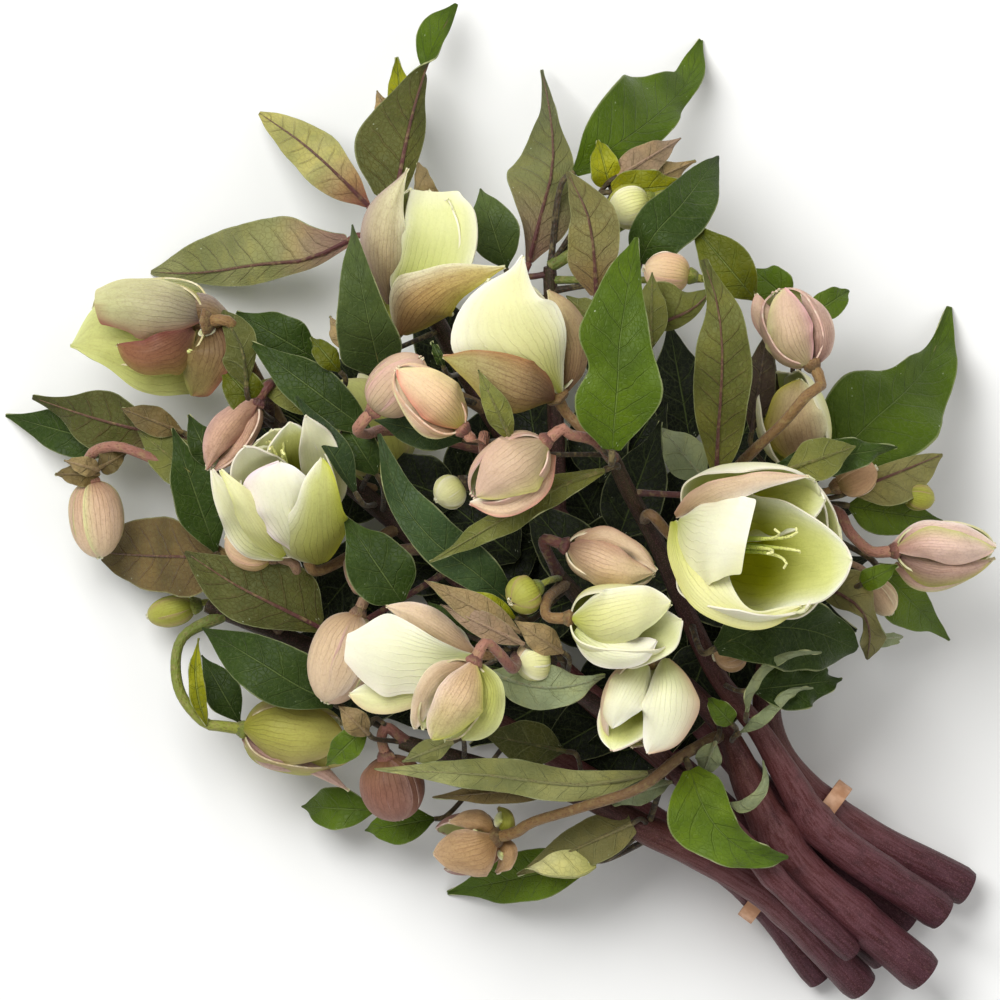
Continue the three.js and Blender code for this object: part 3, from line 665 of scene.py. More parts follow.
# The leaves that the frame has too: the stem and the share of it that each grows from, its places from base
# to tip, its half widths to the right and left in plan units, and its colours.
LEAVES = {
    "leaf_top_tall": dict(on="stem_rear_top", at=0.99, base=[395, 198, 42], via=[[404, 150, 40], [417, 95, 32],
        [434, 45, 22]], tip=[456, 2, 12], widths=([8, 14, 17, 15, 8, 6, 22, 18, 2],
        [22, 44, 52, 40, 24, 10, 7, 6, 2]), back="moss", rib=0.9, flip=(0.56, 0.7), fold=14),
    "leaf_top_red_rib": dict(on="stem_rear_top", at=0.98, base=[368, 205, 41], via=[[335, 172, 40], [303, 143, 28]],
        tip=[258, 111, 8], widths=([3, 14, 20, 24, 24, 21, 17, 12, 2], [3, 17, 24, 26, 24, 21, 16, 10, 2]),
        back="lime", rib=1.0, flush="a05a50"),
    "leaf_top_left": dict(on="stem_rear_top", at=0.955, base=[348, 240, 38], via=[[310, 258, 34], [255, 264, 28],
        [200, 272, 14]], tip=[149, 271, 0.8], widths=([8, 30, 46, 45, 43, 40, 33, 19, 2],
        [6, 8, 12, 18, 20, 16, 10, 8, 2]), back="sage", rib=0.8, flush="a88078", wave=0.6),
    "leaf_lance": dict(on="stem_rear_top", at=0.77, base=[380, 370, 78], via=[[368, 315, 90], [358, 265, 90]],
        tip=[352, 224, 82], widths=([14, 26, 27, 22, 17, 13, 9, 5, 1], [16, 35, 35, 33, 27, 21, 14, 7, 1]),
        tone="mid", roll=-8, fold=18),
    "leaf_top_middle": dict(on="fork", at=0.97, base=[529, 262, 47], via=[[541, 214, 48], [553, 166, 40],
        [551, 118, 26]], tip=[542, 68, 6], widths=([4, 28, 31, 24, 17, 9, 6, 4, 1],
        [4, 14, 32, 45, 33, 21, 10, 4, 1]), back="fern", rib=0.8, flush="7a5c50"),
    "leaf_top_right": dict(on="fork", at=0.99, base=[575, 172, 48], via=[[613, 148, 48], [655, 118, 34],
        [688, 80, 14]], tip=[702, 38, 0.8], widths=([5, 16, 20, 22, 18, 13, 13, 12, 2],
        [5, 34, 50, 55, 48, 31, 18, 13, 2]), fold=20, wave=1.0),
    "leaf_dark_top": dict(on="fork", at=0.9, base=[640, 262, 62], via=[[653, 236, 66], [679, 207, 62]],
        tip=[720, 154, 40], widths=([8, 26, 32, 34, 31, 27, 20, 11, 2], [8, 22, 26, 25, 22, 18, 14, 8, 2]),
        tone="dark"),
    "leaf_brown_back": dict(on="fork", at=0.8, base=[596, 296, 76], via=[[594, 257, 80], [588, 217, 80]],
        tip=[567, 172, 70], widths=([6, 14, 22, 27, 30, 27, 20, 10, 2], [6, 20, 28, 27, 23, 17, 12, 6, 2]),
        back="straw", rib=1.0, flush="8a6c4c"),
    "leaf_big_centre": dict(on="stem_upper", at=0.995, base=[612, 450, 114], via=[[616, 400, 119], [619, 350, 121],
        [627, 295, 118]], tip=[636, 238, 110], widths=([8, 28, 43, 40, 31, 22, 14, 8, 2],
        [10, 36, 42, 28, 42, 36, 28, 16, 2]), fold=14, wave=0.6),
    "leaf_long_olive": dict(on="stem_upper", at=0.92, base=[716, 480, 82], via=[[718, 425, 90], [722, 360, 98],
        [717, 305, 98]], tip=[703, 260, 92], widths=([4, 20, 28, 28, 30, 28, 24, 11, 4],
        [4, 12, 21, 28, 30, 26, 14, 7, 4]), back="olive", rib=1.0, wave=1.0),
    "leaf_big_right": dict(on="stem_right", at=0.985, base=[826, 470, 44], via=[[867, 427, 42], [908, 389, 30],
        [934, 356, 14]], tip=[952, 305, 0.8], widths=([12, 36, 53, 56, 45, 34, 24, 14, 3],
        [12, 42, 52, 43, 27, 20, 12, 5, 3]), fold=14, wave=1.0),
    "leaf_blue_long": dict(on="stem_front", at=0.96, base=[520, 612, 84], via=[[478, 575, 92], [432, 540, 94],
        [400, 498, 93]], tip=[379, 434, 88], widths=([5, 14, 22, 26, 27, 24, 17, 9, 2],
        [5, 12, 18, 20, 18, 15, 12, 7, 2]), tone="blue", wave=0.6, fold=26),
    "leaf_curled": dict(on="stem_upper", at=0.97, base=[604, 470, 96], via=[[560, 486, 101], [505, 518, 104]],
        tip=[430, 562, 99], width=10, shape="narrow", back="olive", wave=1.0, waves=4, roll=20),
    "leaf_dark_left": dict(on="stem_left", at=0.95, base=[334, 704, 48], via=[[300, 688, 50], [262, 664, 50]],
        tip=[201, 628, 36], widths=([6, 26, 32, 31, 28, 23, 16, 8, 1], [6, 16, 26, 31, 31, 26, 18, 9, 1]),
        tone="dark", fold=12),
    "leaf_broad_left": dict(on="stem_rear_left", at=0.7, base=[320, 628, 47], via=[[280, 608, 50], [235, 585, 48]],
        tip=[184, 552, 42], widths=([10, 38, 44, 42, 38, 31, 21, 11, 2], [6, 14, 22, 28, 32, 30, 24, 14, 2]),
        back="moss", rib=0.9, fold=10),
    "leaf_brown_left": dict(on="stem_low", at=0.95, base=[238, 560, 40], via=[[190, 557, 32], [145, 556, 20]],
        tip=[98, 553, 7], widths=([4, 12, 24, 34, 39, 39, 35, 28, 10], [4, 20, 36, 41, 39, 35, 29, 22, 8]),
        back="brown", rib=1.0, fold=10),
    "leaf_outer_left": dict(on="stem_rear_left", at=0.99, base=[188, 440, 34], via=[[150, 432, 34], [100, 420, 28]],
        tip=[30, 397, 13], widths=([4, 10, 16, 24, 30, 27, 15, 7, 3], [4, 10, 18, 30, 34, 27, 14, 6, 2]), back="moss",
        rib=1.0, flush="7c5848"),
    "leaf_far_left": dict(on="stem_rear_left", at=0.975, base=[130, 450, 20], tip=[3, 415, 0.6], width=14,
        tone="dark"),
    "leaf_wavy_dark": dict(on="stem_upper", at=0.66, base=[716, 648, 74], via=[[760, 628, 78], [810, 630, 72]],
        tip=[858, 650, 60], widths=([8, 26, 36, 42, 44, 40, 34, 24, 4], [6, 18, 26, 30, 30, 28, 24, 18, 4]),
        tone="dark", wave=2.2, waves=2.5),
    "leaf_over_stems": dict(on="stem_thin", at=0.46, base=[690, 770, 61], via=[[700, 798, 64], [718, 828, 64],
        [748, 852, 60]], tip=[789, 858, 51], widths=([8, 26, 40, 40, 28, 22, 15, 8, 2],
        [10, 25, 27, 23, 17, 15, 11, 7, 2]), tone="bright", wave=1.6, fold=20),
    "leaf_wavy_low": dict(on="stem_left", at=0.52, base=[648, 774, 56], via=[[580, 786, 60], [500, 776, 63],
        [430, 772, 63]], tip=[374, 769, 61], width=11, shape="narrow", back="sage", wave=1.8, waves=3.5),
    "leaf_bottom": dict(on="stem_left", at=0.5, base=[598, 862, 28], tip=[448, 895, 0.6], width=16, tone="bright"),
    "leaf_low_left": dict(on="stem_left", at=0.93, base=[374, 812, 22], tip=[300, 808, 7], width=13),
    "leaf_right_bright": dict(on="stem_right", at=0.95, base=[878, 566, 38], tip=[952, 641, 6],
        widths=([4, 20, 28, 30, 26, 18, 10, 5, 1], [4, 18, 24, 20, 15, 11, 7, 4, 1]), tone="bright"),
    "leaf_right_upper": dict(on="stem_right", at=0.975, base=[850, 506, 42], tip=[945, 521, 28], width=14,
        shape="broad", tone="bright", bow=4),
}
for number, (node, grown) in enumerate(LEAVES.items()):
    on, at = grown.pop("on"), grown.pop("at")
    spine = leaf(node + "_blade", node=node, **grown)
    stalk(on, at, [], spine[0], spine[1], PETIOLE_RADIUS, "maroon" if grown.get("rib", 0) > 0.4 else "dark", number)


BARE_SHARE = 0.3  # of a stem's length, from its cut end
STALK_BACK, STALK_DROP = 10, 8  # mm behind and below what it carries that a stalk makes for


def nearest_stem(spot, backward):
    """The stem and the share of its length that lie closest behind and below a place."""
    aim = spot + (backward * STALK_BACK - UP * STALK_DROP)
    best = None
    for name, line in routes.items():
        for i in range(len(line.points)):
            gap, share = (line.points[i] - aim).length, line.lengths[i] / line.length
            if share > BARE_SHARE and (best is None or gap < best[0]):
                best = (gap, name, share)
    return best[1:]


# Smaller leaves and bracts that fill the head, each on the nearest stem, or bare of a stalk.
SMALL_LEAVES = {
    "tip_yellow_top": dict(base=[404, 130, 20], tip=[396, 56, 14], width=8, tone="lime"),
    "tip_brown_top": dict(base=[392, 130, 18], tip=[376, 88, 14], width=6, back="tan"),
    "bract_pink_top": dict(plain=True, base=[424, 204, 46], tip=[418, 162, 43],
        widths=([14, 17, 16, 14, 12, 10, 8, 5, 1], [8, 9, 8, 8, 7, 6, 5, 3, 1]), back="tan"),
    "leaf_dark_small_top": dict(base=[506, 268, 50], tip=[480, 187, 46], width=15, tone="mid"),
    "bract_top_1": dict(base=[610, 185, 52], tip=[598, 140, 50], width=9, shape="bract", tone="lime"),
    "bract_top_2": dict(base=[618, 176, 54], tip=[682, 137, 46], width=10, shape="bract", back="pink"),
    "bract_top_3": dict(base=[628, 190, 50], tip=[696, 160, 44], width=9, shape="bract", back="tan"),
    "bract_top_4": dict(base=[612, 192, 56], tip=[690, 184, 50], width=12, shape="bract", tone="lime", wave=1.0),
    "leaf_olive_right_top": dict(base=[756, 300, 64], tip=[692, 224, 60], width=15, tone="olive"),
    "leaf_speckled": dict(base=[372, 434, 66], tip=[247, 340, 58], width=15, tone="dark"),
    "leaf_under_speckled": dict(base=[342, 404, 54], tip=[248, 382, 50], width=12, back="olive"),
    "leaf_behind_left": dict(base=[318, 360, 40], tip=[236, 312, 38], width=15, tone="dark"),
    "leaf_light_fold": dict(base=[246, 386, 58], via=[[242, 350, 60]], tip=[219, 309, 54],
        widths=([2, 6, 10, 14, 18, 19, 16, 10, 3], [3, 16, 22, 22, 17, 12, 8, 5, 2]), back="moss", fold=30),
    "leaf_dark_fold": dict(base=[256, 405, 54], tip=[220, 364, 52], width=12, shape="broad", tone="olive"),
    "leaf_pink_edge": dict(base=[182, 432, 40], tip=[120, 408, 34], width=9, back="brown"),
    "leaf_olive_outer": dict(base=[206, 485, 42], tip=[136, 430, 36], width=14, back="olive"),
    "leaf_tip_outer": dict(base=[215, 470, 44], tip=[188, 415, 42], width=9, tone="dark"),
    "leaf_fold_left": dict(base=[215, 552, 38], tip=[172, 428, 42], width=15, tone="dark", fold=26),
    "leaf_small_left": dict(base=[238, 722, 26], tip=[200, 655, 22], width=11, tone="dark"),
    "tip_left_1": dict(base=[340, 372, 66], tip=[311, 337, 62], width=7, tone="olive"),
    "tip_left_2": dict(base=[352, 352, 64], tip=[329, 315, 60], width=7, back="tan"),
    "leaf_grey_left": dict(base=[355, 492, 74], tip=[296, 396, 70], widths=([3, 10, 17, 20, 18, 14, 9, 5, 2],
        [2, 4, 5, 5, 5, 5, 4, 3, 1]), tone="blue"),
    "leaf_blue_beside": dict(base=[462, 440, 78], tip=[374, 420, 76], width=11, tone="blue"),
    "leaf_dark_beside": dict(base=[376, 474, 66], tip=[342, 420, 62], width=11, tone="dark"),
    "bract_brown_centre": dict(base=[602, 442, 108], tip=[594, 396, 112], width=6, shape="bract", back="tan"),
    "leaf_olive_behind_1": dict(base=[604, 330, 88], tip=[566, 296, 84], width=9, back="olive"),
    "leaf_olive_behind_2": dict(base=[650, 350, 88], tip=[652, 272, 84], width=10, back="olive"),
    "leaf_olive_over_head": dict(base=[512, 442, 118], tip=[478, 370, 122], width=8, back="olive"),
    "spike_small": dict(base=[444, 368, 84], tip=[432, 342, 84], width=3, tone="dark"),
    "leaf_back_top_right": dict(base=[650, 327, 74], via=[[672, 319, 82], [694, 308, 82]], tip=[711, 290, 76],
        widths=([3, 7, 10, 11, 10, 8, 5, 3, 1], [8, 28, 38, 40, 36, 29, 20, 11, 3]), back="olive", rib=0.9),
    "leaf_strip_maroon": dict(base=[752, 432, 60], tip=[768, 328, 56], width=10, back="dusk"),
    "leaf_dim_grey": dict(base=[706, 482, 66], tip=[662, 428, 60], width=13, back="grey"),
    "leaf_bright_back": dict(base=[792, 302, 44], tip=[752, 268, 40], width=12, tone="bright"),
    "leaf_tip_right_top": dict(base=[808, 318, 42], tip=[850, 290, 36], width=9, tone="bright"),
    "leaf_curled_dark": dict(base=[776, 466, 70], tip=[898, 447, 60], width=11, tone="dark", wave=1.6),
    "leaf_back_right": dict(base=[786, 470, 76], tip=[856, 446, 70], width=13, back="olive"),
    "leaf_fold_right": dict(base=[850, 492, 50], tip=[944, 454, 38], widths=([4, 16, 26, 30, 29, 26, 19, 11, 2],
        [4, 9, 12, 13, 12, 11, 9, 6, 1]), back="straw", rib=0.6, fold=8),
    "bract_right": dict(base=[862, 584, 58], tip=[897, 566, 56], width=7, shape="bract", tone="bright"),
    "leaf_grey_right": dict(base=[818, 584, 52], via=[[842, 595, 57], [862, 610, 58], [870, 630, 53]],
        tip=[868, 661, 42], widths=([6, 12, 14, 9, 4, 6, 9, 8, 2], [8, 22, 30, 24, 12, 12, 17, 12, 2]), back="straw",
        rib=0.6, wave=0.8),
    "curl_grey_outer": dict(bare=True, base=[868, 640, 45], tip=[905, 637, 34], widths=([2, 6, 9, 9, 8, 7, 5, 3, 1],
        [2, 3, 5, 5, 5, 4, 4, 2, 1]), back="grey", teeth=0.0),
    "leaf_wavy_lower": dict(base=[752, 690, 66], tip=[842, 680, 54], width=15, tone="dark", wave=2.4),
    "leaf_pale_back": dict(base=[716, 742, 58], tip=[702, 776, 52], width=8, back="grey"),
    "leaf_grey_edge": dict(plain=True, base=[740, 733, 60], via=[[756, 722, 66], [774, 706, 68], [790, 692, 68]],
        tip=[814, 688, 62], widths=([1, 5, 8, 8, 7, 6, 4, 2, 1], [1, 4, 5, 5, 4, 4, 3, 2, 1]), back="grey", wave=0.8),
    "curl_grey_middle": dict(plain=True, base=[747, 712, 66], via=[[750, 690, 73], [765, 668, 80], [788, 655, 83]],
        tip=[822, 652, 78], widths=([1, 4, 6, 6, 6, 5, 4, 2, 1], [1, 3, 4, 4, 4, 4, 3, 2, 1]), back="grey", wave=0.8),
    "leaf_dark_middle": dict(base=[402, 602, 76], tip=[344, 516, 70], width=19, shape="broad", tone="dark"),
    "bract_centre_1": dict(base=[520, 632, 92], tip=[424, 580, 90], width=9, back="tan"),
    "bract_centre_2": dict(base=[524, 644, 94], tip=[440, 604, 90], width=8, back="pink"),
    "bract_centre_3": dict(base=[516, 618, 90], tip=[456, 590, 90], width=7, tone="lime"),
    "bract_centre_4": dict(base=[562, 652, 90], tip=[514, 620, 94], width=9, back="tan"),
    "leaf_dark_centre": dict(base=[482, 662, 78], tip=[428, 602, 74], width=14, tone="dark"),
    "leaf_grey_curl": dict(base=[492, 672, 88], tip=[604, 676, 84], width=14, back="grey", wave=2.4, waves=2,
        side=-8),
    "leaf_dim_low": dict(base=[566, 752, 50], tip=[482, 734, 48], width=14, back="moss"),
    "leaf_small_low_1": dict(base=[732, 724, 62], tip=[708, 698, 64], width=7, tone="bright"),
    "leaf_small_low_2": dict(base=[368, 726, 50], tip=[326, 766, 42], width=9, tone="bright"),
    "bract_beige_low": dict(base=[368, 734, 54], tip=[338, 706, 56], width=8, back="tan"),
    "bract_pale_low": dict(base=[452, 742, 62], tip=[402, 762, 58], width=7, back="sage"),
    "leaf_low_left_2": dict(base=[434, 820, 26], tip=[364, 832, 16], width=12),
    "leaf_brown_low": dict(base=[572, 786, 54], tip=[432, 798, 44], width=8, back="brown"),
    "leaf_grey_low": dict(base=[672, 782, 54], tip=[602, 804, 48], width=8, back="grey", wave=1.2),
    "leaf_wrapping_bud": dict(base=[632, 824, 44], tip=[518, 876, 26], width=14, shape="bract", back="straw",
        fold=30),
    "petal_in_leaf": dict(plain=True, base=[596, 862, 38], tip=[524, 870, 33], width=9, shape="bract", back="butter"),
    "curl_over_stems": dict(plain=True, base=[727, 803, 60], via=[[742, 806, 66], [757, 796, 68], [765, 780, 67]],
        tip=[763, 760, 62], widths=([1, 4, 7, 8, 7, 6, 4, 2, 1], [1, 4, 6, 6, 5, 4, 3, 2, 1]), back="grey"),
    "star_bract_1": dict(bare=True, base=[98, 474, 30], tip=[54, 474, 28], width=8, shape="bract", back="brown"),
    "star_bract_2": dict(bare=True, base=[98, 470, 32], tip=[62, 460, 32], width=6, shape="bract", back="tan"),
    "star_bract_3": dict(bare=True, base=[98, 468, 32], tip=[126, 452, 32], width=7, shape="bract", back="brown"),
    "bract_arch": dict(bare=True, base=[206, 726, 36], tip=[198, 638, 36], width=5, tone="lime", side=4),
}
for number, (name, grown) in enumerate(SMALL_LEAVES.items()):
    bare = grown.pop("bare", False)
    spine = leaf(name, **grown)
    if not bare:
        on, at = nearest_stem(spine[0], (spine[0] - spine[1]).normalized())
        stalk(on, at, [], spine[0], spine[1], SMALL_PETIOLE_RADIUS, "dark", number + 40)

# Leaves deep in the bunch, lying flatter, coloured near black as painted shade: middle place, and the way each points
# in degrees.
DEEP_LEAVES = [
    (300, 420, 14, 150), (332, 500, 12, 200), (400, 560, 12, 170), (440, 330, 22, 110), (486, 440, 20, 60),
    (520, 520, 16, 190), (562, 600, 16, 140), (604, 690, 14, 230), (646, 600, 20, 30), (700, 650, 16, 300),
    (756, 560, 20, 80), (746, 430, 20, 60), (680, 380, 26, 100), (620, 330, 28, 80), (540, 330, 26, 120),
    (462, 610, 14, 150), (384, 660, 12, 200), (312, 660, 10, 170), (430, 706, 12, 190), (524, 716, 12, 210),
    (624, 536, 26, 40), (566, 470, 26, 120), (690, 490, 28, 60), (800, 520, 20, 10), (800, 610, 16, 340),
    (470, 520, 30, 140), (600, 420, 34, 90), (520, 620, 34, 200), (660, 560, 40, 20), (400, 480, 30, 160),
    (720, 600, 36, 330), (640, 480, 44, 70), (560, 540, 44, 130), (690, 700, 36, 250), (740, 520, 40, 60),
    (362, 386, 22, 150), (272, 440, 14, 130), (336, 582, 14, 140), (350, 700, 12, 200), (532, 420, 28, 100),
    (640, 436, 32, 60), (536, 560, 22, 160), (580, 736, 20, 210), (620, 752, 22, 190), (704, 716, 24, 240),
    (480, 566, 26, 200), (816, 578, 18, 20), (776, 474, 20, 80), (450, 660, 22, 170), (660, 640, 28, 300),
    (770, 664, 26, 345), (340, 590, 24, 230),
]
DEEP_REACH = 62  # plan units from the middle of one to its tip
for number, (across, down, height, way) in enumerate(DEEP_LEAVES):
    dx, dy = DEEP_REACH * math.cos(math.radians(way)), DEEP_REACH * math.sin(math.radians(way))
    start, end = [across - dx, down + dy, height], [across + dx, down - dy, max(height - 8, 2)]
    leaf(f"deep_leaf_{number + 1:02d}", start, end, width=19, tone="deep", bow=5, shape="broad",
         roll=(number * 37) % 30 - 15)

# ---- Flower heads ----
# Nodding hellebore heads of overlapping thick sepals on a small knob, from closed buds to one open cup with
# its stamens and styles. Sepals are petal-like, cream to dusty pink outside and yellow-green inside.
def sepal_face(name, layer, vein, relief):
    """Skin of one face of a sepal: fan veins, a fine net and speckle, as strong as its paint's alpha."""
    made, tree, shader = material(name, Roughness=0.55, IOR=1.4, Specular_IOR_Level=0.35, Subsurface_Weight=0.12,
                                  Subsurface_Scale=0.0012, Subsurface_Radius=(0.8, 1.0, 0.35))
    grain = add(tree, "Attribute", out="Vector", attribute_name="grain")
    share = add(tree, "SeparateXYZ", {0: add(tree, "Attribute", out="Vector", attribute_name="share")})
    paint = add(tree, "VertexColor", layer_name=layer)
    spots = add(tree, "TexCoord", out="Object")
    drift = add(tree, "TexNoise", {"Vector": spots, "Scale": 170.0, "Detail": 3.0})  # 6 mm
    speckle = add(tree, "TexNoise", {"Vector": spots, "Scale": 1500.0, "Detail": 2.0})  # 0.7 mm
    # About twelve veins fan out from the base and wander by a third of their spacing.
    run = add(tree, "Math", {0: share, 1: 6.0}, operation="MULTIPLY")
    run = add(tree, "Math", {0: drift, 1: 1.1, 2: run}, operation="MULTIPLY_ADD")
    run = add(tree, "Math", {0: run, 1: 0.5}, operation="PINGPONG")
    drawn_out = add(tree, "Mapping", {0: grain, "Scale": (0.5, 0.11, 1.0)})  # streaks 2 mm wide and 9 mm long
    wash = add(tree, "TexNoise", {"Vector": drawn_out, "Scale": 1.0, "Detail": 4.0, "Roughness": 0.6})
    # The net's meshes are 1 mm by 2 mm, bent out of line.
    bend = add(tree, "TexNoise", {"Vector": grain, "Scale": 0.8}, "Color")
    bent = add(tree, "Mix", {0: 0.3, 6: grain, 7: bend}, 2, data_type="RGBA")
    bent = add(tree, "Mapping", {0: bent, "Scale": (1.0, 0.5, 1.0)})
    cells = add(tree, "TexVoronoi", {"Vector": bent, "Scale": 0.95, "Randomness": 1.0}, feature="DISTANCE_TO_EDGE")
    fan, near_base, net = [
        add(tree, "MapRange", {"Value": value, "From Min": low, "From Max": high}, interpolation_type="SMOOTHSTEP")
        for value, low, high in ((run, 0.1, 0.0), (share.node.outputs[1], 0.95, 0.3), (cells, 0.13, 0.0))]
    fan = add(tree, "Math", {0: fan, 1: near_base}, operation="MULTIPLY")
    dark = add(tree, "Mix", {0: 0.7, 6: paint, 7: colour(vein)}, 2, data_type="RGBA", blend_type="MULTIPLY")
    skin = paint
    for pattern, low, high, least, more in ((wash, 0.42, 0.72, 0.05, 0.5), (net, 0.0, 1.0, 0.015, 0.3),
                                            (fan, 0.0, 1.0, 0.04, 0.38), (speckle, 0.5, 0.75, 0.04, 0.5)):
        most = add(tree, "Math", {0: paint.node.outputs["Alpha"], 1: more, 2: least}, operation="MULTIPLY_ADD")
        skin = coat(tree, skin, pattern, low, high, most, dark)
    tree.links.new(skin, shader.inputs["Base Color"])
    emboss(tree, shader, 0.0002, (speckle, 0.25), (fan, relief), (wash, 0.35))
    return made


# Thick living sepals: matt with a silky sheen, light soaks into them a millimetre or two.
sepal_out = sepal_face("hellebore sepal outside", "over", "8a5040", 0.6)
sepal_in = sepal_face("hellebore sepal inside", "beneath", "8f9a2c", -0.5)
# The cut-thin edge of a sepal takes its own tint, a little bleached.
sepal_rim, tree, shader = material("sepal edge", Roughness=0.5, IOR=1.4)
spots = add(tree, "TexCoord", out="Object")
wear = add(tree, "TexNoise", {"Vector": spots, "Scale": 500.0, "Detail": 2.0})  # 2 mm
skin = coat(tree, add(tree, "VertexColor", layer_name="over"), wear, 0.3, 0.9, 1.0, colour("efe4cc"))
tree.links.new(skin, shader.inputs["Base Color"])

# Paints: base, middle, tip and edge colours, and how strongly the veins show.
PAINTS = {
    "cream": ("b0b640", "dedc96", "e6e4b2", "eeead0", 0.1), "white": ("b8c052", "e4e4ac", "eae8c4", "eee8d6", 0.06),
    "blush": ("b08c68", "d8bc98", "e0c8a8", "e8d4c0", 0.3), "veined": ("86603a", "b09058", "c4b46a", "e6e3b4", 0.8),
    "brownpink": ("5e3e36", "7c5238", "8e5e40", "9c6c50", 0.7), "lime": ("8c8c34", "b2b45c", "c2c47c", "ccbc8c", 0.3),
    "greying": ("62524c", "b0a884", "c4c48c", "dcd8a6", 0.4), "tan": ("74523e", "a88c66", "c8b484", "e4e2bc", 0.55),
    "peach": ("b0a448", "e0bc90", "e8cea8", "e2b498", 0.22), "rose": ("a07a62", "cca488", "d2ac94", "d8b8a4", 0.65),
    "lilac": ("a0906a", "ccb090", "d8b8a0", "d8aca0", 0.3), "pink": ("a87c5c", "d8b898", "dcc4a0", "d8dc9a", 0.4),
    "green": ("848a2c", "a4a640", "b0ae58", "b0946c", 0.3), "dusk": ("84603e", "8c6250", "9c7466", "b08c80", 0.65),
    "orange": ("8a7a3e", "b8926a", "c49c76", "d8b48c", 0.4),
    "speckled": ("ccaa7c", "d6b890", "d0c884", "e8e6b4", 0.6),
    # The inside of an open cup: yellow-green paling to a near-white rim. The dark olive at its base is partly the
    # sepal's own green and partly painted shade in the cup's hollow.
    "shaded_cup_inside": ("8a8000", "a6a80a", "e2e498", "f8f7ea", 0.2), "pale": ("a4a82c", "ccd07e", "dedfa6", "ecead0", 0.1),
    "mauve": ("7c5a52", "b0907e", "c4a494", "d8c0b0", 0.5), "umber": ("4e3c28", "7c6440", "8c8048", "a08850", 0.8),
    "sage": ("6c4638", "a0865c", "a8a464", "b48a4a", 0.8), "clear": ("c2c878", "e6e6bc", "ecead0", "eee6da", 0.05),
    "pearl": ("b88878", "e2c0ae", "e6ccb8", "d8d894", 0.42),
    "olive": ("868628", "aca850", "b6b060", "b09a76", 0.3), "tawny": ("a47c4c", "bc986a", "c0a078", "c8ac90", 0.55),
    "bisque": ("886850", "d4b490", "e4cea4", "ecdfb4", 0.42), "ecru": ("8c7260", "b4a27c", "d8d4a6", "eeecca", 0.5),
}
# Shares of a head's length, of its radius and of each sepal's width, at even steps from base to tip.
RISES = {
    "bud": (0, 0.05, 0.17, 0.34, 0.52, 0.7, 0.86, 0.96, 1), "bell": (0, 0.04, 0.14, 0.3, 0.48, 0.65, 0.8, 0.92, 1),
    "cup": (0, 0.04, 0.13, 0.28, 0.45, 0.62, 0.78, 0.9, 1),
}
SPREADS = {
    "bud": (0.14, 0.52, 0.84, 0.98, 1, 0.92, 0.7, 0.4, 0.06),
    "bell": (0.12, 0.5, 0.8, 0.95, 1, 0.98, 0.9, 0.76, 0.58),
    "cup": (0.12, 0.5, 0.78, 0.92, 1, 1.03, 1.04, 1.0, 0.94),
}
REACHES = {
    "bud": (1, 1, 1, 1, 1, 0.97, 0.92, 0.84, 0.7), "bell": (0.9, 1, 1, 1, 1, 0.98, 0.94, 0.86, 0.7),
    "cup": (0.9, 1, 1, 1, 1, 1, 0.97, 0.9, 0.75),
}
LAYERS = (0.1, 0.0, 0.07, 0.02, 0.045)  # how far each of five sepals stands out, as a share of the radius
TURN_ORDER = (0, 144, 288, 72, 216)  # degrees round the head, in the order in which they overlap
BUD_CURL = 0.3  # mm that a bud's sepals stand off at their edges
KNOB_PLACES = (-2.5, -0.8, 1.6)  # mm along the head's axis
STOUT_HEAD = 12  # mm across, above which a head has a flower's stalk
SEPAL_THICKNESS = 0.55
SEPAL_CROWDING = 1.3


def painted(paint, edges=None):
    """Colours over one face of a sepal, from its paint's four colours or with its own two edge colours."""
    *shades, net = PAINTS[paint]
    base, middle, tip, edge = [colour(c, net) for c in shades]
    right, left = [colour(c, net * 0.4) for c in edges] if edges else (edge, edge)

    def shade(u, v):
        made = blend([base, middle, tip], v ** 0.8)
        margin = min(1.0, abs(u) ** (2.5 if edges else 5) * 0.8 + max(0.0, v - 0.86) * 3)
        return blend([made, right if u > 0 else left], margin)
    return shade


def laid_sepal(spine, widths, crown=4.0, face="out", out="cream", inside="pale", edges=None, seed=0.0, **ways):
    """One big sepal along its own spine, with its half widths to the right and left of it in plan units."""
    ways = {"round_end": True, "wave": 0.1} | ways
    surface = blade_surface([place(stop) for stop in spine], 0, widths=widths, cup=crown, teeth=0, seed=seed,
                            pleat=0.12, **ways)
    skins = (sepal_out, sepal_in, sepal_rim) if face == "out" else (sepal_in, sepal_out, sepal_rim)
    return sheet(blank_sepal, surface, painted(out, edges), painted(inside), SEPAL_THICKNESS, skins, SEPAL_CROWDING)


def sepal(seat, length, radius, outline, angle, half=50.0, layer=0.0, curl=0.0, size=1.0, out="cream",
          inside="pale", seed=0.0):
    """One sepal of a head that stands on its seat: base place, axis, front and side directions."""
    base, axis, front, side = seat
    radius *= size
    theta = math.radians(angle)
    outward = front * math.cos(theta) + side * math.sin(theta)

    def surface(u, v):
        turn = math.radians(angle + half * level(REACHES[outline], v) * rounding(v) * u)
        r = radius * level(SPREADS[outline], v) * (1 + layer)
        r += curl * abs(u) ** 3 * min(1, v * 1.6)
        r += radius * 0.012 * math.cos(u * 9.4 + seed) * min(1, v * 2)
        rise = length * level(RISES[outline], v * (1 - 0.05 * u * u * v))
        spot = base + axis * rise + (front * math.cos(turn) + side * math.sin(turn)) * r
        return spot + outward * noise.noise(spot * 0.13 + Vector((seed, 3, 0))) * 0.06 * radius * v

    surface.size, surface.aside = (radius * math.radians(half), length), 0.0
    return sheet(blank_sepal, surface, painted(out), painted(inside), SEPAL_THICKNESS,
                 (sepal_out, sepal_in, sepal_rim), SEPAL_CROWDING)


# A style's course: millimetres away from the axis, and its share of the way up.
STYLE_COURSE = ((1.9, 0.5), (2.4, 0.8), (3.4, 0.94), (5.0, 1), (6.6, 0.97))


